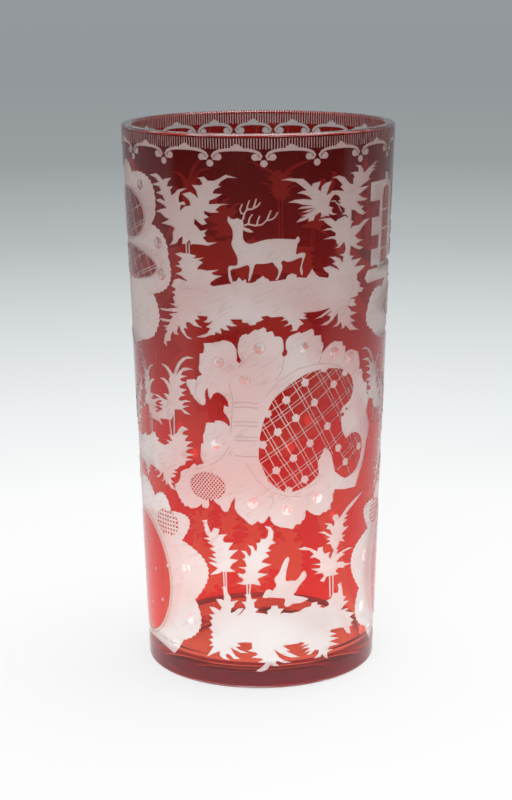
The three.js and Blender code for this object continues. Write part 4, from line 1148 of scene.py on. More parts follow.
def engraving() -> Drawing:
    """Draws the whole wall.

    Returns:
        The border and the four columns, in the order in which they are laid on.
    """
    whole = Drawing()
    RimBorder().draw(whole)
    whole.add(BackColumn().draw(), BackColumn.MIDDLE)
    whole.add(LeftColumn().draw(), LeftColumn.MIDDLE)
    whole.add(RightColumn().draw(), RightColumn.MIDDLE)
    whole.add(FrontColumn().draw(), 0.0)
    return whole


# The glass itself


@dataclass(frozen=True)
class GlassForm:
    """The turned form of the glass, in millimetres."""

    height: float
    rim_radius: float
    foot_radius: float
    wall_at_rim: float = 2.9
    wall_at_floor: float = 3.6
    base: float = 6.4
    floor_fillet: float = 3.2
    foot_round: float = 0.8
    lip_round: float = 0.8
    hollow_radius: float = 24.4
    hollow_flat: float = 13.3
    hollow_depth: float = 1.6
    film_outside: float = 0.04
    film_thickness: float = 0.16
    matt_depth: float = 0.2
    groove_depth: float = 0.3
    bead_radius: float = 1.6
    bead_depth: float = 0.3

    @classmethod
    def from_frame(cls, node: str) -> "GlassForm":
        """Reads the height and the radii from a node of the frame.

        Args:
            node: The name of the clear body's node.

        Returns:
            The form that fits it.
        """
        corners = [v.co / MM for v in bpy.data.objects[node].data.vertices]
        round_foot = cls.foot_round + 0.05
        return cls(
            height=round(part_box(node)[1].z / MM, 2),
            rim_radius=round(max(math.hypot(c.x, c.y) for c in corners), 1),
            foot_radius=round(max(math.hypot(c.x, c.y) for c in corners if c.z < round_foot), 1),
        )

    @property
    def wall_low(self) -> float:
        """Where the engraved wall starts above the foot."""
        return self.foot_round + 0.1

    @property
    def wall_high(self) -> float:
        """Where it ends under the lip."""
        return self.height - self.lip_round

    @property
    def slope(self) -> float:
        """How much the radius grows with the height."""
        return (self.rim_radius - self.foot_radius) / self.height

    def radius(self, t: float) -> float:
        """The outer radius at a height."""
        return self.foot_radius + self.slope * t

    def place(self, s: float, t: float, depth: float = 0.0) -> Triple:
        """Finds a point of the sheet on the wall.

        Args:
            s: Its place round the glass.
            t: Its height.
            depth: How far it lies below the outer surface.

        Returns:
            The point, in metres.
        """
        a = math.tau * s / SHEET_ROUND
        r = self.radius(t) - depth
        return r * math.sin(a) * MM, -r * math.cos(a) * MM, t * MM

    def sheet(self, point: Vector) -> Point:
        """The place on the sheet that a point of the wall came from."""
        return math.atan2(point.x, -point.y) / math.tau * SHEET_ROUND, point.z / MM

    def normal(self, s: float, lean_s: float = 0.0, lean_t: float = 0.0) -> Triple:
        """Finds the outward direction of the wall.

        Args:
            s: The place round the glass.
            lean_s: How fast the surface sinks to the right there.
            lean_t: How fast it sinks upwards.

        Returns:
            The direction, of length 1.
        """
        a = math.tau * s / SHEET_ROUND
        out = Vector((math.sin(a), -math.cos(a), -self.slope))
        right = Vector((math.cos(a), math.sin(a), 0.0))
        return tuple((out + right * lean_s + Vector((0, 0, 1)) * lean_t).normalized())

    def upper_profile(self) -> Outline:
        """Follows the lip, the inside wall and the floor to the axis.

        Returns:
            Corners of (radius, height), from the wall's upper edge.
        """
        lip = self.height - self.lip_round
        inner_rim = self.rim_radius - self.wall_at_rim
        inner_floor = self.radius(self.base) - self.wall_at_floor
        profile = [(self.radius(self.wall_high), self.wall_high)]
        profile += self.bend(self.rim_radius - self.lip_round, lip, self.lip_round, 10, 90, 6)
        profile += self.bend(inner_rim + self.lip_round, lip, self.lip_round, 90, 178, 6)
        rows = 30
        top, low = lip - 1.0, self.base + self.floor_fillet
        for i in range(rows + 1):
            f = i / rows
            profile.append((inner_rim + (inner_floor - inner_rim) * f, top + (low - top) * f))
        profile += self.bend(inner_floor - self.floor_fillet, low, self.floor_fillet, -8, -90, 9)
        floor_at = inner_floor - self.floor_fillet
        profile += [(floor_at * f, self.base) for f in (0.8, 0.6, 0.4, 0.2, 0.0)]
        return profile

    def lower_profile(self) -> Outline:
        """Follows the foot and the hollow ground under it to the axis.

        Returns:
            Corners of (radius, height), from the axis to the wall's lower edge.
        """
        profile = [(self.hollow_flat * f, self.hollow_depth) for f in (0.0, 0.25, 0.5, 0.75, 1.0)]
        slope = self.hollow_radius - self.hollow_flat
        profile += [
            (self.hollow_flat + slope * f, self.hollow_depth * (1 + math.cos(math.pi * f)) / 2)
            for f in (0.12, 0.25, 0.4, 0.55, 0.7, 0.85)
        ]
        profile += [(self.hollow_radius, 0.0)]
        edge = self.foot_round
        profile += self.bend(self.foot_radius - edge, edge, edge, -90, -8, 5)
        profile.append((self.radius(self.wall_low), self.wall_low))
        return profile

    @staticmethod
    def bend(r: float, z: float, radius: float, start: float, end: float, steps: int) -> Outline:
        """Draws part of a circle between two directions, in degrees."""
        angles = [math.radians(start + (end - start) * i / steps) for i in range(steps + 1)]
        return [(r + radius * math.cos(a), z + radius * math.sin(a)) for a in angles]


# The place of each finish among those of the clear body; the polished hollows have one of their own.
FINISH_OF_CUT = {Cut.NONE: 0, Cut.MATT: 1, Cut.GROOVE: 3}
FINISH_OF_HOLLOW = 2


class Zone(Enum):
    """What a face of the clear body is, for its normals; turned faces keep the 0 they start with."""

    TURNED = 0
    WALL = 1
    BEAD = 2
    EDGE = 3


@dataclass
class CutWall:
    """The engraved outer wall: the drawing divided into triangles that know how they were cut."""

    form: GlassForm
    drawing: Drawing
    columns: int = 180
    seam: float = -75.0
    rows: int = 60
    weld: float = 5e-4
    bead_sides: int = 16
    bead_rings: tuple[tuple[float, int], ...] = ((0.35, 7), (0.7, 12))
    corners: Outline = field(default_factory=list)
    triangles: list[tuple[int, int, int]] = field(default_factory=list)
    cuts: list[Cut] = field(default_factory=list)
    layers: list[Layer] = field(default_factory=list)
    polished: list[bool] = field(default_factory=list)

    def divide(self) -> None:
        """Divides the sheet along every outline, and says of each triangle what made it."""
        low, high = self.form.wall_low, self.form.wall_high
        points = [
            Vector((self.seam + SHEET_ROUND * i / self.columns, low + (high - low) * k / self.rows))
            for k in range(self.rows + 1)
            for i in range(self.columns + 1)
        ]
        wide = self.columns + 1
        last = self.rows * wide
        edges = [(row + i, row + i + 1) for row in (0, last) for i in range(self.columns)]
        for side in (0, self.columns):
            edges += [(k * wide + side, (k + 1) * wide + side) for k in range(self.rows)]
        areas = self.wrapped(self.drawing.areas)
        radius, sides = self.form.bead_radius, self.bead_sides
        dots = self.wrapped([Area(Pen.disc(b, radius, sides), Cut.MATT) for b in self.drawing.beads])
        faces = []
        for area in (*areas, *dots):
            outline = self.anticlockwise(area.outline)
            faces.append(list(range(len(points), len(points) + len(outline))))
            points += [Vector(p) for p in outline]
        for bead in self.wrapped([Area([b], Cut.MATT) for b in self.drawing.beads]):
            middle = bead.outline[0]
            points.append(Vector(middle))
            for share, count in self.bead_rings:
                points += [Vector(p) for p in Pen.disc(middle, radius * share, count)]
        found = geometry.delaunay_2d_cdt(points, edges, faces, 0, self.weld, True)
        self.corners = [(v.x, v.y) for v in found[0]]
        filled = [0.0] * len(faces)
        for triangle, owners in zip(found[2], found[5]):
            for owner in set(owners):
                filled[owner] += self.size(triangle, self.corners)
        # An outline that the division spilled over the sheet fills far more than its own area.
        sound = [
            full < 1.0 + 1.5 * self.size(range(len(face)), [points[i] for i in face])
            for full, face in zip(filled, faces)
        ]
        for triangle, owners in zip(found[2], found[5]):
            owners = [owner for owner in owners if sound[owner]]
            s = sum(self.corners[i][0] for i in triangle) / 3
            t = sum(self.corners[i][1] for i in triangle) / 3
            if not (self.seam < s < self.seam + SHEET_ROUND and low < t < high):
                continue
            cut, layer = Cut.NONE, Layer.CASING
            for owner in sorted(set(owners)):
                if owner >= len(areas):
                    continue
                area = areas[owner]
                if area.only_on is None or area.only_on is cut:
                    cut, layer = area.cut, area.layer or layer
            self.triangles.append(tuple(triangle))
            self.cuts.append(cut)
            self.layers.append(layer)
            self.polished.append(cut is not Cut.NONE and any(o >= len(areas) for o in owners))

    def wrapped(self, areas: Sequence[Area]) -> list[Area]:
        """Brings areas onto the sheet, with a second copy of those that cross the seam.

        Args:
            areas: Areas anywhere round the glass.

        Returns:
            The areas that touch the sheet.
        """
        end = self.seam + SHEET_ROUND
        placed = []
        for area in areas:
            left, right = min(p[0] for p in area.outline), max(p[0] for p in area.outline)
            for turn in (-1, 0, 1):
                if left + turn * SHEET_ROUND < end and right + turn * SHEET_ROUND > self.seam:
                    outline = Pen.shifted(area.outline, turn * SHEET_ROUND) if turn else area.outline
                    placed.append(replace(area, outline=outline))
        return placed

    @staticmethod
    def size(corners: Sequence[int], places: Sequence[Point]) -> float:
        """The area inside some corners, below 0 where they run clockwise."""
        at = [places[i] for i in corners]
        return sum(a[0] * b[1] - b[0] * a[1] for a, b in zip(at, at[1:] + at[:1])) / 2

    def anticlockwise(self, outline: Outline) -> Outline:
        """The outline the right way round."""
        return outline if self.size(range(len(outline)), outline) > 0 else outline[::-1]

    def sunk(self, s: float, t: float) -> Triple:
        """Finds how deep the polished hollows are at a place.

        Args:
            s: The place round the glass.
            t: Its height.

        Returns:
            The depth of the hollow, and how fast it sinks to the right and upwards.
        """
        radius = self.form.bead_radius
        for bead in self.drawing.beads:
            ds = (s - bead[0] + SHEET_ROUND / 2) % SHEET_ROUND - SHEET_ROUND / 2
            dt = t - bead[1]
            if abs(ds) < radius and abs(dt) < radius:
                share = (ds * ds + dt * dt) / (radius * radius)
                if share < 0.999:
                    steep = -2 * self.form.bead_depth / (radius * radius)
                    return self.form.bead_depth * (1 - share), steep * ds, steep * dt
        return 0.0, 0.0, 0.0

    def depth(self, cut: Cut, s: float, t: float) -> float:
        """Finds how far below the outer surface the clear body lies.

        Args:
            cut: How the wall was cut at the place.
            s: The place round the glass.
            t: Its height.

        Returns:
            The depth, in millimetres.
        """
        if cut is Cut.NONE:
            return 0.0
        if cut is Cut.GROOVE:
            return self.form.groove_depth
        return self.form.matt_depth + self.sunk(s, t)[0]


@dataclass
class ClearBody:
    """The colourless glass: the engraved wall joined to the turned lip, inside, floor and foot."""

    wall: CutWall
    name: str = "clear_body_glass"
    nodes: tuple[str, ...] = ("clear_body",)

    def build(self, finishes: Sequence[bpy.types.Material]) -> bpy.types.Object:
        """Makes the whole body.

        Args:
            finishes: The materials of its polished faces, engraved faces, polished hollows and grooves.

        Returns:
            The finished object.
        """
        wall = self.wall_object(finishes)
        upper = self.turned("lip_and_inside", self.wall.form.upper_profile())
        lower = self.turned("foot_and_hollow", self.wall.form.lower_profile())
        for part in (upper, lower):
            part.data.materials.append(finishes[0])
        select_only([wall, upper, lower])
        bpy.ops.object.join()
        merge_corners()
        self.set_normals(wall)
        return wall

    def wall_object(self, finishes: Sequence[bpy.types.Material]) -> bpy.types.Object:
        """Raises the divided sheet into the cut wall, with a step wherever the depth changes.

        Args:
            finishes: The materials of its polished faces, engraved faces, polished hollows and grooves.

        Returns:
            The wall as an object of its own.
        """
        wall = self.wall
        points: list[Triple] = []
        found: dict[tuple[int, Cut], int] = {}

        def point(corner: int, cut: Cut) -> int:
            """Finds a corner at the depth of a cut, or adds it.

            Args:
                corner: Its number on the sheet.
                cut: How the wall was cut there.

            Returns:
                Its number among the points.
            """
            key = (corner, cut)
            if key not in found:
                s, t = wall.corners[corner]
                found[key] = len(points)
                points.append(wall.form.place(s, t, wall.depth(cut, s, t)))
            return found[key]

        faces, zones, finish_numbers = [], [], []
        edges: dict[tuple[int, int], Cut] = {}
        for (a, b, c), cut, polished in zip(wall.triangles, wall.cuts, wall.polished):
            faces.append((point(a, cut), point(b, cut), point(c, cut)))
            zones.append(Zone.BEAD.value if polished else Zone.WALL.value)
            finish_numbers.append(FINISH_OF_HOLLOW if polished else FINISH_OF_CUT[cut])
            for edge in ((a, b), (b, c), (c, a)):
                edges[edge] = cut
        for (a, b), cut in edges.items():
            other = edges.get((b, a))
            if other is not None and other is not cut and list(Cut).index(cut) < list(Cut).index(other):
                faces.append((point(b, cut), point(a, cut), point(a, other), point(b, other)))
                zones.append(Zone.EDGE.value)
                finish_numbers.append(FINISH_OF_CUT[Cut.MATT])
        obj = new_object(self.name, points, faces)
        for finish in finishes:
            obj.data.materials.append(finish)
        obj.data.polygons.foreach_set("material_index", finish_numbers)
        obj.data.polygons.foreach_set("use_smooth", [zone != Zone.EDGE.value for zone in zones])
        obj.data.attributes.new("zone", "INT", "FACE").data.foreach_set("value", zones)
        return obj

    def turned(self, name: str, profile: Outline) -> bpy.types.Object:
        """Turns a profile about the axis, starting at the seam of the wall.

        Args:
            name: The name of the new object.
            profile: Its corners as (radius, height).

        Returns:
            The turned object.
        """
        a = math.tau * self.wall.seam / SHEET_ROUND
        points = [(r * math.sin(a) * MM, -r * math.cos(a) * MM, z * MM) for r, z in profile]
        obj = new_object(name, points, [], [(i, i + 1) for i in range(len(points) - 1)])
        select_only([obj])
        bpy.ops.object.mode_set(mode="EDIT")
        bpy.ops.mesh.select_all(action="SELECT")
        bpy.ops.mesh.spin(
            steps=self.wall.columns, angle=math.tau, use_auto_merge=True, center=(0, 0, 0), axis=(0, 0, 1)
        )
        bpy.ops.mesh.select_all(action="SELECT")
        bpy.ops.mesh.remove_doubles(threshold=MERGE)
        bpy.ops.mesh.normals_make_consistent(inside=False)
        bpy.ops.object.mode_set(mode="OBJECT")
        self.face_outwards(obj)
        bpy.ops.object.shade_smooth_by_angle(angle=math.radians(35))
        return obj

    def face_outwards(self, obj: bpy.types.Object) -> None:
        """Turns the faces of an open turned shape so that they face out of the glass.

        Args:
            obj: The turned shape, which crosses the axis at the floor or under the foot.
        """
        inner = [p for p in obj.data.polygons if math.hypot(p.center.x, p.center.y) < 0.02]
        face = max(inner, key=lambda p: abs(p.normal.z))
        out = 1.0 if face.center.z > self.wall.form.base * 0.5 * MM else -1.0
        if face.normal.z * out < 0:
            obj.data.flip_normals()

    def set_normals(self, obj: bpy.types.Object) -> None:
        """Gives the wall the normals of the true cone, and each hollow those of its bowl.

        Args:
            obj: The whole clear body.
        """
        mesh, form = obj.data, self.wall.form
        zones = [0] * len(mesh.polygons)
        mesh.attributes["zone"].data.foreach_get("value", zones)
        normals: list[Triple] = [(0.0, 0.0, 0.0)] * len(mesh.loops)
        known: dict[int, Triple] = {}
        for face, zone in zip(mesh.polygons, zones):
            if zone in (Zone.WALL.value, Zone.BEAD.value):
                for loop in face.loop_indices:
                    corner = mesh.loops[loop].vertex_index
                    if zone == Zone.BEAD.value:
                        s, t = form.sheet(mesh.vertices[corner].co)
                        _, lean_s, lean_t = self.wall.sunk(s, t)
                        normals[loop] = form.normal(s, lean_s, lean_t)
                    else:
                        if corner not in known:
                            known[corner] = form.normal(form.sheet(mesh.vertices[corner].co)[0])
                        normals[loop] = known[corner]
        mesh.normals_split_custom_set(normals)


@dataclass
class RubyLayer:
    """The thin ruby layer that the engraving left standing, in its separate parts."""

    wall: CutWall
    clear_of_edge: float = 0.03
    near_end: float = 0.01

    def build(self, layer: Layer, ruby: bpy.types.Material) -> bpy.types.Object:
        """Makes one part of the layer as a closed sheet of even thickness.

        Args:
            layer: Which part.
            ruby: Its material.

        Returns:
            The finished object.
        """
        wall, form = self.wall, self.wall.form
        chosen = [
            triangle
            for triangle, cut, own in zip(wall.triangles, wall.cuts, wall.layers)
            if cut is Cut.NONE and own is layer
        ]
        drawn_in = self.drawn_in(chosen)
        numbers: dict[int, int] = {}
        points = []
        for triangle in chosen:
            for corner in triangle:
                if corner not in numbers:
                    s, t = wall.corners[corner]
                    ds, dt = drawn_in.get(corner, (0.0, 0.0))
                    numbers[corner] = len(points)
                    points.append(form.place(s + ds, t + dt, form.film_outside))
        obj = new_object(layer.piece, points, [tuple(numbers[c] for c in triangle) for triangle in chosen])
        obj.data.materials.append(ruby)
        select_only([obj])
        merge_corners()
        bpy.ops.object.modifier_add(type="SOLIDIFY")
        sheet = obj.modifiers[-1]
        sheet.thickness = form.film_thickness * MM
        sheet.offset = -1.0
        bpy.ops.object.modifier_apply(modifier=sheet.name)
        bpy.ops.object.shade_smooth_by_angle(angle=math.radians(40))
        self.set_normals(obj)
        return obj

    def set_normals(self, obj: bpy.types.Object) -> None:
        """Gives the two broad sides of the sheet the normals of the true cone.

        Args:
            obj: One part of the ruby layer.
        """
        mesh, form = obj.data, self.wall.form
        normals: list[Triple] = [(0.0, 0.0, 0.0)] * len(mesh.loops)
        for face in mesh.polygons:
            if abs(face.normal.dot(Vector(form.normal(form.sheet(face.center)[0])))) > 0.9:
                for loop in face.loop_indices:
                    corner = mesh.vertices[mesh.loops[loop].vertex_index].co
                    true = Vector(form.normal(form.sheet(corner)[0]))
                    normals[loop] = tuple(true if true.dot(face.normal) > 0 else -true)
        mesh.normals_split_custom_set(normals)

    def drawn_in(self, triangles: Sequence[tuple[int, int, int]]) -> dict[int, Point]:
        """Finds how far to draw the corners at a cut edge into the ruby, so that it clears the body's step.

        Args:
            triangles: The triangles of one part.

        Returns:
            The move of each such corner on the sheet.
        """
        corners, seam = self.wall.corners, self.wall.seam
        used = {edge for a, b, c in triangles for edge in ((a, b), (b, c), (c, a))}
        rim = {corner for a, b in used if (b, a) not in used for corner in (a, b)}
        near = self.near_end
        low, high = self.wall.form.wall_low + near, self.wall.form.wall_high - near
        pulls: dict[int, list[float]] = {}
        for triangle in triangles:
            if rim.isdisjoint(triangle):
                continue
            s = sum(corners[c][0] for c in triangle) / 3
            t = sum(corners[c][1] for c in triangle) / 3
            for corner in triangle:
                if corner in rim:
                    ds, dt = s - corners[corner][0], t - corners[corner][1]
                    far = math.hypot(ds, dt) or 1.0
                    pull = pulls.setdefault(corner, [0.0, 0.0])
                    pull[0] += ds / far
                    pull[1] += dt / far
        moves = {}
        for corner, (ds, dt) in pulls.items():
            s, t = corners[corner]
            at_end = t < low or t > high or min(abs(s - seam), abs(s - seam - SHEET_ROUND)) < near
            far = math.hypot(ds, dt)
            if not at_end and far > 1e-6:
                moves[corner] = (ds / far * self.clear_of_edge, dt / far * self.clear_of_edge)
        return moves


def select_only(objects: Sequence[bpy.types.Object]) -> None:
    """Selects some objects alone.

    Args:
        objects: The objects, of which the first is made active.
    """
    bpy.ops.object.select_all(action="DESELECT")
    for obj in objects:
        obj.select_set(True)
    bpy.context.view_layer.objects.active = objects[0]


def merge_corners() -> None:
    """Joins the corners of the active object that lie in one place."""
    bpy.ops.object.mode_set(mode="EDIT")
    bpy.ops.mesh.select_all(action="SELECT")
    bpy.ops.mesh.remove_doubles(threshold=MERGE)
    bpy.ops.object.mode_set(mode="OBJECT")


def new_object(
    name: str,
    points: Sequence[Sequence[float]],
    faces: Sequence[Sequence[int]],
    edges: Sequence[tuple[int, int]] = (),
) -> bpy.types.Object:
    """Makes an object from corners and faces.

    Args:
        name: Its name.
        points: Its corners, in metres.
        faces: Its faces, by the numbers of their corners.
        edges: Loose edges, where it has no faces yet.

    Returns:
        The new object, linked to the scene.
    """
    mesh = bpy.data.meshes.new(name)
    mesh.from_pydata(points, edges, faces)
    mesh.update()
    obj = bpy.data.objects.new(name, mesh)
    bpy.context.scene.collection.objects.link(obj)
    return obj


# Finishes


Colour = Triple
Socket = bpy.types.NodeSocket


def colour(red: float, green: float, blue: float) -> Colour:
    """Turns a colour as a screen shows it, from 0 to 255, into the light it stands for."""
    shares = (red / 255, green / 255, blue / 255)
    return tuple(v / 12.92 if v <= 0.04045 else ((v + 0.055) / 1.055) ** 2.4 for v in shares)


@dataclass
class Value:
    """A number socket of a node tree, which can be reckoned with like a number."""

    tree: "Tree"
    socket: Socket

    def _math(self, operation: str, *terms: object) -> "Value":
        """Adds a Math node that works on these terms."""
        node = self.tree.add("ShaderNodeMath", {"operation": operation}, dict(enumerate(terms)))
        return Value(self.tree, node.outputs[0])

    def __add__(self, other: object) -> "Value":
        """Adds."""
        return self._math("ADD", self, other)

    def __sub__(self, other: object) -> "Value":
        """Takes away."""
        return self._math("SUBTRACT", self, other)

    def __rsub__(self, other: object) -> "Value":
        """Takes this away from the other."""
        return self._math("SUBTRACT", other, self)

    def __mul__(self, other: object) -> "Value":
        """Multiplies."""
        return self._math("MULTIPLY", self, other)

    def __truediv__(self, other: object) -> "Value":
        """Divides."""
        return self._math("DIVIDE", self, other)

    __radd__ = __add__
    __rmul__ = __mul__

    def root(self) -> "Value":
        """The square root."""
        return self._math("SQRT", self)

    def largest(self, other: object) -> "Value":
        """The larger of the two."""
        return self._math("MAXIMUM", self, other)

    def ease(self, low: float, high: float) -> "Value":
        """Runs softly from 0 at the low value to 1 at the high one."""
        settings = {"interpolation_type": "SMOOTHSTEP", "clamp": True}
        sockets = {"Value": self, "From Min": low, "From Max": high, "To Min": 0.0, "To Max": 1.0}
        return Value(self.tree, self.tree.add("ShaderNodeMapRange", settings, sockets).outputs["Result"])


@dataclass
class Tree:
    """The nodes of a material or of the world."""

    nodes: bpy.types.NodeTree

    @classmethod
    def of(cls, owner: bpy.types.Material | bpy.types.World) -> "Tree":
        """Empties the tree of a material or world and takes it over.

        Args:
            owner: The material or the world.

        Returns:
            Its tree, ready for new nodes.
        """
        owner.use_nodes = True
        owner.node_tree.nodes.clear()
        return cls(owner.node_tree)

    def add(
        self,
        kind: str,
        settings: dict[str, object] | None = None,
        sockets: dict[str | int, object] | None = None,
    ) -> bpy.types.Node:
        """Adds a node.

        Args:
            kind: Its type.
            settings: Its own settings, set first; "stops" are those of a ramp, as (place, colour).
            sockets: What its input sockets get, a plain value, a Value or another socket.

        Returns:
            The node.
        """
        node = self.nodes.nodes.new(kind)
        for key, value in (settings or {}).items():
            if key == "stops":
                self.set_stops(node.color_ramp.elements, value)
            else:
                setattr(node, key, value)
        for key, value in (sockets or {}).items():
            source = value.socket if isinstance(value, Value) else value
            if isinstance(source, Socket):
                self.nodes.links.new(source, node.inputs[key])
            else:
                node.inputs[key].default_value = source
        return node

    def surface(self, sockets: dict[str | int, object]) -> bpy.types.Node:
        """Adds the shader of a painted or clear surface."""
        return self.add("ShaderNodeBsdfPrincipled", None, sockets)

    @staticmethod
    def set_stops(elements: bpy.types.bpy_prop_collection, stops: Sequence[tuple[float, Colour]]) -> None:
        """Gives a ramp its stops.

        Args:
            elements: The stops that the ramp has.
            stops: The places and colours that it gets.
        """
        while len(elements) < len(stops):
            elements.new(1.0)
        for element, (place, shade) in zip(elements, stops):
            element.position = place
            element.color = (*shade, 1.0)

    def here(self) -> Socket:
        """The place on the object, in metres."""
        return self.add("ShaderNodeTexCoord").outputs["Object"]

    def parts(self, vector: Socket) -> tuple[Value, Value, Value]:
        """The three numbers of a vector."""
        node = self.add("ShaderNodeSeparateXYZ", None, {0: vector})
        return tuple(Value(self, socket) for socket in node.outputs)

    def noise(
        self, vector: Socket, scale: float, detail: float = 2.0, roughness: float = 0.5
    ) -> Value:
        """A cloudy pattern from 0 to 1."""
        sockets = {"Vector": vector, "Scale": scale, "Detail": detail, "Roughness": roughness}
        return Value(self, self.add("ShaderNodeTexNoise", None, sockets).outputs["Fac"])

    def turned(self, vector: Socket, angles: Triple, stretch: Triple) -> Socket:
        """The place, turned back by angles in radians and then stretched along its axes."""
        sockets = {"Vector": vector, "Rotation": angles, "Scale": tuple(1 / share for share in stretch)}
        return self.add("ShaderNodeMapping", {"vector_type": "TEXTURE"}, sockets).outputs[0]

    def ramp(self, value: Value, stops: Sequence[tuple[float, Colour]]) -> Socket:
        """The colour that a ramp has at a value."""
        return self.add("ShaderNodeValToRGB", {"stops": stops}, {0: value}).outputs["Color"]

    def mix(self, share: object, first: object, second: object) -> Socket:
        """Mixes two colours by a share."""
        first, second = (((*c, 1.0) if isinstance(c, tuple) else c) for c in (first, second))
        return self.add("ShaderNodeMix", {"data_type": "RGBA"}, {0: share, 6: first, 7: second}).outputs[2]

    def bump(self, height: Value, strength: float, distance: float) -> Socket:
        """The normal of a slightly uneven surface."""
        sockets = {"Height": height, "Strength": strength, "Distance": distance}
        return self.add("ShaderNodeBump", None, sockets).outputs[0]

    def blend(self, share: object, first: bpy.types.Node, second: bpy.types.Node) -> bpy.types.Node:
        """Mixes two shaders by a share."""
        return self.add("ShaderNodeMixShader", None, {0: share, 1: first.outputs[0], 2: second.outputs[0]})

    def finish(self, shader: bpy.types.Node, output: str = "ShaderNodeOutputMaterial") -> None:
        """Leads the shader to the output."""
        self.add(output, None, {"Surface": shader.outputs[0]})


@dataclass(frozen=True)
class PolishedGlass:
    """Clear polished glass, with the faint waves and the fine dust of an old piece."""

    name: str = "polished_clear_glass"
    ior: float = 1.5
    roughness: float = 0.0
    dust: float = 0.02
    dust_scale: float = 90.0
    waves: float = 0.01
    wave_scale: float = 32.0

    def make(self) -> bpy.types.Material:
        """Makes the material.

        Returns:
            The new material.
        """
        material = bpy.data.materials.new(self.name)
        tree = Tree.of(material)
        here = tree.here()
        dust = tree.noise(here, self.dust_scale, 4.0).ease(0.5, 0.75)
        waves = tree.noise(here, self.wave_scale, 1.0)
        shader = tree.surface({
            "Base Color": tree.mix(dust * 0.02, (1.0, 1.0, 1.0), (0.9, 0.88, 0.86)),
            "Roughness": dust * self.dust + self.roughness,
            "IOR": self.ior,
            "Transmission Weight": 1.0,
            "Normal": tree.bump(waves, self.waves, 0.0008),
        })
        tree.finish(shader)
        return material


@dataclass(frozen=True)
class MattCut:
    """Glass roughened by the engraver's wheel, with patches of its fine slanting strokes; its colour is
    painted lighter towards the foot and darker and pinker towards the rim, and it has a painted glow low
    down.
    """

    name: str = "matt_engraved_glass"
    ior: float = 1.45
    height: float = 0.1545
    painted_light_low: Colour = (1.0, 0.97, 0.95)
    painted_shade_high: Colour = (0.74, 0.63, 0.6)
    clearness: float = 0.68
    roughness: float = 0.34
    spread: float = 0.2
    milky: float = 0.22
    painted_glow: Colour = (0.2, 0.183, 0.176)
    painted_glow_top: float = 0.52
    stroke: Colour = (0.56, 0.43, 0.39)
    stroke_share: float = 0.42
    stroke_slant: float = -0.6
    stroke_fineness: Triple = (300.0, 300.0, 1500.0)
    grain_scale: float = 2200.0
    cloud_scale: float = 120.0

    def make(self) -> bpy.types.Material:
        """Makes the material.

        Returns:
            The new material.
        """
        material = bpy.data.materials.new(self.name)
        tree = Tree.of(material)
        here = tree.here()
        slanting = tree.turned(here, (0.0, self.stroke_slant, 0.0), self.stroke_fineness)
        strokes = tree.noise(slanting, 1.0, 3.0, 0.6)
        grain = tree.noise(here, self.grain_scale, 2.0)
        cloud = tree.noise(here, self.cloud_scale, 3.0)
        up = tree.parts(here)[2] / self.height
        painted_shade_by_height = (up + (cloud - 0.5) * 0.2).ease(0.2, 1.0)
        marks = strokes.ease(0.5, 0.66) * cloud.ease(0.4, 0.6) * self.stroke_share
        # Base Color runs from painted light at the foot to painted shade and a painted pink tint at the
        # rim.
        shader = tree.surface({
            "Base Color": tree.mix(marks, tree.mix(painted_shade_by_height, self.painted_light_low, self.painted_shade_high), self.stroke),
            "Roughness": strokes * self.spread + self.roughness,
            "IOR": self.ior,
            "Transmission Weight": self.clearness,
            # A painted glow low down that fades out upwards: light that no lamp gives.
            "Emission Color": tree.mix(up.ease(0.05, self.painted_glow_top), self.painted_glow, (0.0, 0.0, 0.0)),
            "Emission Strength": 1.0,
            "Normal": tree.bump(strokes + grain * 0.5, 0.25, 0.00006),
        })
        # The translucent part carries the same painted light and shade by height.
        low, high, marked = (
            tree.add("ShaderNodeBsdfTranslucent", None, {"Color": (*shade, 1.0)})
            for shade in (self.painted_light_low, self.painted_shade_high, self.stroke)
        )
        milk = tree.blend(marks, tree.blend(painted_shade_by_height, low, high), marked)
        tree.finish(tree.blend(self.milky, shader, milk))
        return material


# The polished hollows have a strong painted glow that stands in for the bright highlights in them.
HOLLOW = MattCut(
    "half_polished_hollow_glass_painted_glow",
    clearness=0.9,
    roughness=0.1,
    spread=0.05,
    milky=0.2,
    painted_glow=(0.5, 0.48, 0.46),
    painted_glow_top=0.9,
)
# The grooves are coloured darker than the matt: painted shade in the cut lines, darker still towards the
# rim.
GROOVE = MattCut("wheel_groove_glass", painted_light_low=(0.78, 0.66, 0.62), painted_shade_high=(0.56, 0.42, 0.38))


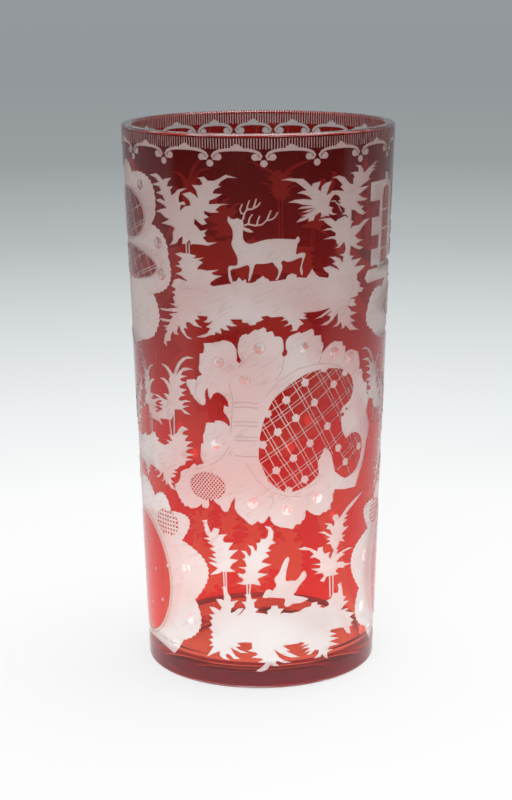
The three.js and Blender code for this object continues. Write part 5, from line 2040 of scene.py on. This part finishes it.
@dataclass(frozen=True)
class RubyGlass:
    """Ruby glass: dark under the rim, more orange lower down, with a maroon band of painted shade at the
    foot.
    """

    name: str = "ruby_layer_glass"
    height: float = 0.1545
    stops: tuple[tuple[float, Colour], ...] = (
        (0.0, (0.75, 0.05, 0.06)), (0.034, (0.75, 0.05, 0.06)), (0.037, (0.97, 0.13, 0.06)),
        (0.17, (0.88, 0.06, 0.025)), (0.3, (0.78, 0.045, 0.02)), (0.48, (0.72, 0.026, 0.013)),
        (0.62, (0.56, 0.022, 0.012)), (0.85, (0.47, 0.02, 0.013)), (1.0, (0.44, 0.02, 0.014)),
    )
    # The maroon band at the foot, with the first two stops of the ramp, is painted shade where the foot
    # looks dark.
    painted_foot_shade: Colour = (0.62, 0.02, 0.06)
    band_height: float = 0.034
    band_share: float = 0.46
    band_roughness: float = 0.12
    band_ior: float = 1.3
    band_blur: float = 0.0012
    cloud_scale: float = 38.0
    cloud_height: float = 0.35

    def make(self) -> bpy.types.Material:
        """Makes the material.

        Returns:
            The new material.
        """
        material = bpy.data.materials.new(self.name)
        tree = Tree.of(material)
        here = tree.here()
        up = tree.parts(here)[2] / self.height
        tall = tree.turned(here, (0.0, 0.0, 0.0), (1.0, 1.0, self.cloud_height))
        cloud = tree.noise(tall, self.cloud_scale, 2.0)
        shader = tree.surface({
            "Base Color": tree.ramp(up + (cloud - 0.5) * up * 0.2, self.stops),
            "Roughness": 0.0,
            "IOR": 1.0,
            "Transmission Weight": 1.0,
        })
        # A partly opaque maroon surface mixed in below band_height: painted shade at the foot.
        painted_foot_shade_surface = tree.surface({
            "Base Color": (*self.painted_foot_shade, 1.0),
            "Roughness": self.band_roughness,
            "IOR": self.band_ior,
        })
        edge = 1.0 - up.ease(self.band_height - self.band_blur, self.band_height + self.band_blur)
        tree.finish(tree.blend(edge * self.band_share, shader, painted_foot_shade_surface))
        return material


# The studio


@dataclass
class Studio:
    """A pale floor that falls off into a grey distance, soft light from above, and a dark room in front."""

    floor_radius: float = 8.5
    floor_steps: int = 96
    floor_gap: float = 0.0002
    distance_stops: tuple[tuple[float, Colour], ...] = (
        (0.0, colour(252, 252, 252)),
        (0.10, colour(249, 250, 250)),
        (0.182, colour(247, 248, 248)),
        (0.316, colour(233, 237, 238)),
        (0.42, colour(222, 226, 228)),
        (0.55, colour(208, 213, 214)),
        (0.805, colour(182, 187, 189)),
        (1.324, colour(156, 161, 164)),
        (2.487, colour(152, 157, 161)),
        (7.0, colour(155, 160, 164)),
    )
    floor_glow: float = 0.72
    floor_base: float = 0.2
    front_edge: tuple[float, float] = (-0.3, -0.14)
    horizon: Colour = colour(155, 160, 164)
    overhead: Colour = (0.008, 0.008, 0.01)
    ambient: Colour = (0.95, 0.94, 0.93)

    def build(self) -> None:
        """Makes the floor, the world and the lamps."""
        self.make_floor()
        self.make_world()
        self.add_lamp("softbox_above", (0.25, 0.15, 1.5), size=1.1, power=14.0)
        self.add_lamp("fill_from_the_camera", (-0.35, -1.4, 0.5), size=0.9, power=15.0, shines=False)

    def make_floor(self) -> None:
        """Makes the round floor, with its own shade at each distance from the glass."""
        bpy.ops.mesh.primitive_circle_add(
            vertices=self.floor_steps,
            radius=self.floor_radius,
            fill_type="NGON",
            location=(0, 0, -self.floor_gap),
        )
        floor = bpy.context.object
        floor.name = "pale_floor"
        material = bpy.data.materials.new("pale_floor")
        tree = Tree.of(material)
        x, y, _ = tree.parts(tree.here())
        far = (x * x + y * y).root()
        reach = self.distance_stops[-1][0]
        spaced = tuple(((place / reach) ** 0.5, shade) for place, shade in self.distance_stops)
        shade = tree.ramp((far / reach).root(), spaced)
        rays = tree.add("ShaderNodeLightPath").outputs
        mirrored = Value(tree, rays["Is Glossy Ray"])
        lit = 1.0 - mirrored * (1.0 - y.ease(*self.front_edge))
        black = (0.0, 0.0, 0.0)
        shader = tree.surface({
            "Base Color": tree.mix(self.floor_base, black, shade),
            "Roughness": 1.0,
            "Specular IOR Level": 0.0,
            "Emission Color": tree.mix(lit * self.floor_glow, black, shade),
            "Emission Strength": 1.0,
        })
        tree.finish(shader)
        floor.data.materials.append(material)
        floor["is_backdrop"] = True

    def make_world(self) -> None:
        """Makes a room that is grey at the horizon and dark above, and lights matt things evenly."""
        world = bpy.data.worlds.new("studio_room")
        bpy.context.scene.world = world
        tree = Tree.of(world)
        x, y, z = tree.parts(tree.add("ShaderNodeTexCoord").outputs["Generated"])
        rays = tree.add("ShaderNodeLightPath").outputs
        through = Value(tree, rays["Is Camera Ray"]).largest(Value(tree, rays["Is Transmission Ray"]))
        behind = y.ease(-0.2, 0.5)
        low = 1.0 - z.ease(0.3, 0.8)
        room = tree.mix(low * through.largest(behind), self.overhead, self.horizon)
        mirrored = Value(tree, rays["Is Glossy Ray"]).largest(through)
        light = tree.mix(mirrored, self.ambient, room)
        tree.finish(tree.add("ShaderNodeBackground", None, {"Color": light}), "ShaderNodeOutputWorld")

    @staticmethod
    def add_lamp(name: str, place: Triple, size: float, power: float, shines: bool = True) -> None:
        """Adds a square soft lamp that faces the glass.

        Args:
            name: Its name.
            place: Where it hangs, in metres.
            size: The length of its side.
            power: Its power in watts.
            shines: Whether glass mirrors it.
        """
        bpy.ops.object.light_add(type="AREA", location=place)
        lamp = bpy.context.object
        lamp.name = name
        lamp.data.shape = "SQUARE"
        lamp.data.size = size
        lamp.data.energy = power
        lamp.rotation_euler = (Vector((0, 0, 0.08)) - Vector(place)).to_track_quat("-Z", "Y").to_euler()
        lamp.visible_camera = False
        lamp.visible_transmission = False
        lamp.visible_glossy = shines


@dataclass
class PhotoCamera:
    """The camera, where the photographer stood."""

    place: Triple = (-0.001052, -0.53312, 0.20169)
    down: float = 0.2331
    tilt: float = -0.0062
    pixels_to_image: float = 1911.43
    picture_side: int = 800
    sensor: float = 36.0

    def build(self) -> None:
        """Sets up the camera and makes it the scene's own."""
        bpy.ops.object.camera_add(location=self.place)
        camera = bpy.context.object
        camera.name = "photo_camera"
        camera.data.sensor_width = self.sensor
        camera.data.lens = self.pixels_to_image / self.picture_side * self.sensor
        camera.data.clip_start = 0.01
        camera.data.clip_end = 30.0
        level = Matrix.Rotation(math.pi / 2 - self.down, 3, "X")
        camera.rotation_euler = (level @ Matrix.Rotation(self.tilt, 3, "Z")).to_euler()
        bpy.context.scene.camera = camera


def main() -> None:
    """Builds the glass, its studio and its camera."""
    logging.basicConfig(level=logging.INFO, format="%(name)s: %(message)s")
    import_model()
    cad_box = tuple(v.copy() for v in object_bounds())
    scene = bpy.context.scene
    scene.view_settings.view_transform = "Standard"
    for setting, count in BOUNCES.items():
        setattr(scene.cycles, setting, count)
    finishes = [finish.make() for finish in (PolishedGlass(), MattCut(), HOLLOW, GROOVE)]
    ruby = RubyGlass().make()
    wall = CutWall(GlassForm.from_frame("clear_body"), engraving())
    wall.divide()
    log.info("%d triangles on the divided sheet", len(wall.triangles))
    body = ClearBody(wall)
    glass = body.build(finishes)
    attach(glass, "root")
    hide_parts(*body.nodes)
    log.info("%s has %d faces", glass.name, len(glass.data.polygons))
    casing = RubyLayer(wall)
    for layer in Layer:
        piece = casing.build(layer, ruby)
        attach(piece, "root")
        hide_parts(*layer.nodes)
        log.info("%s has %d faces", piece.name, len(piece.data.polygons))
    Studio().build()
    PhotoCamera().build()


if __name__ == "__main__":
    main()
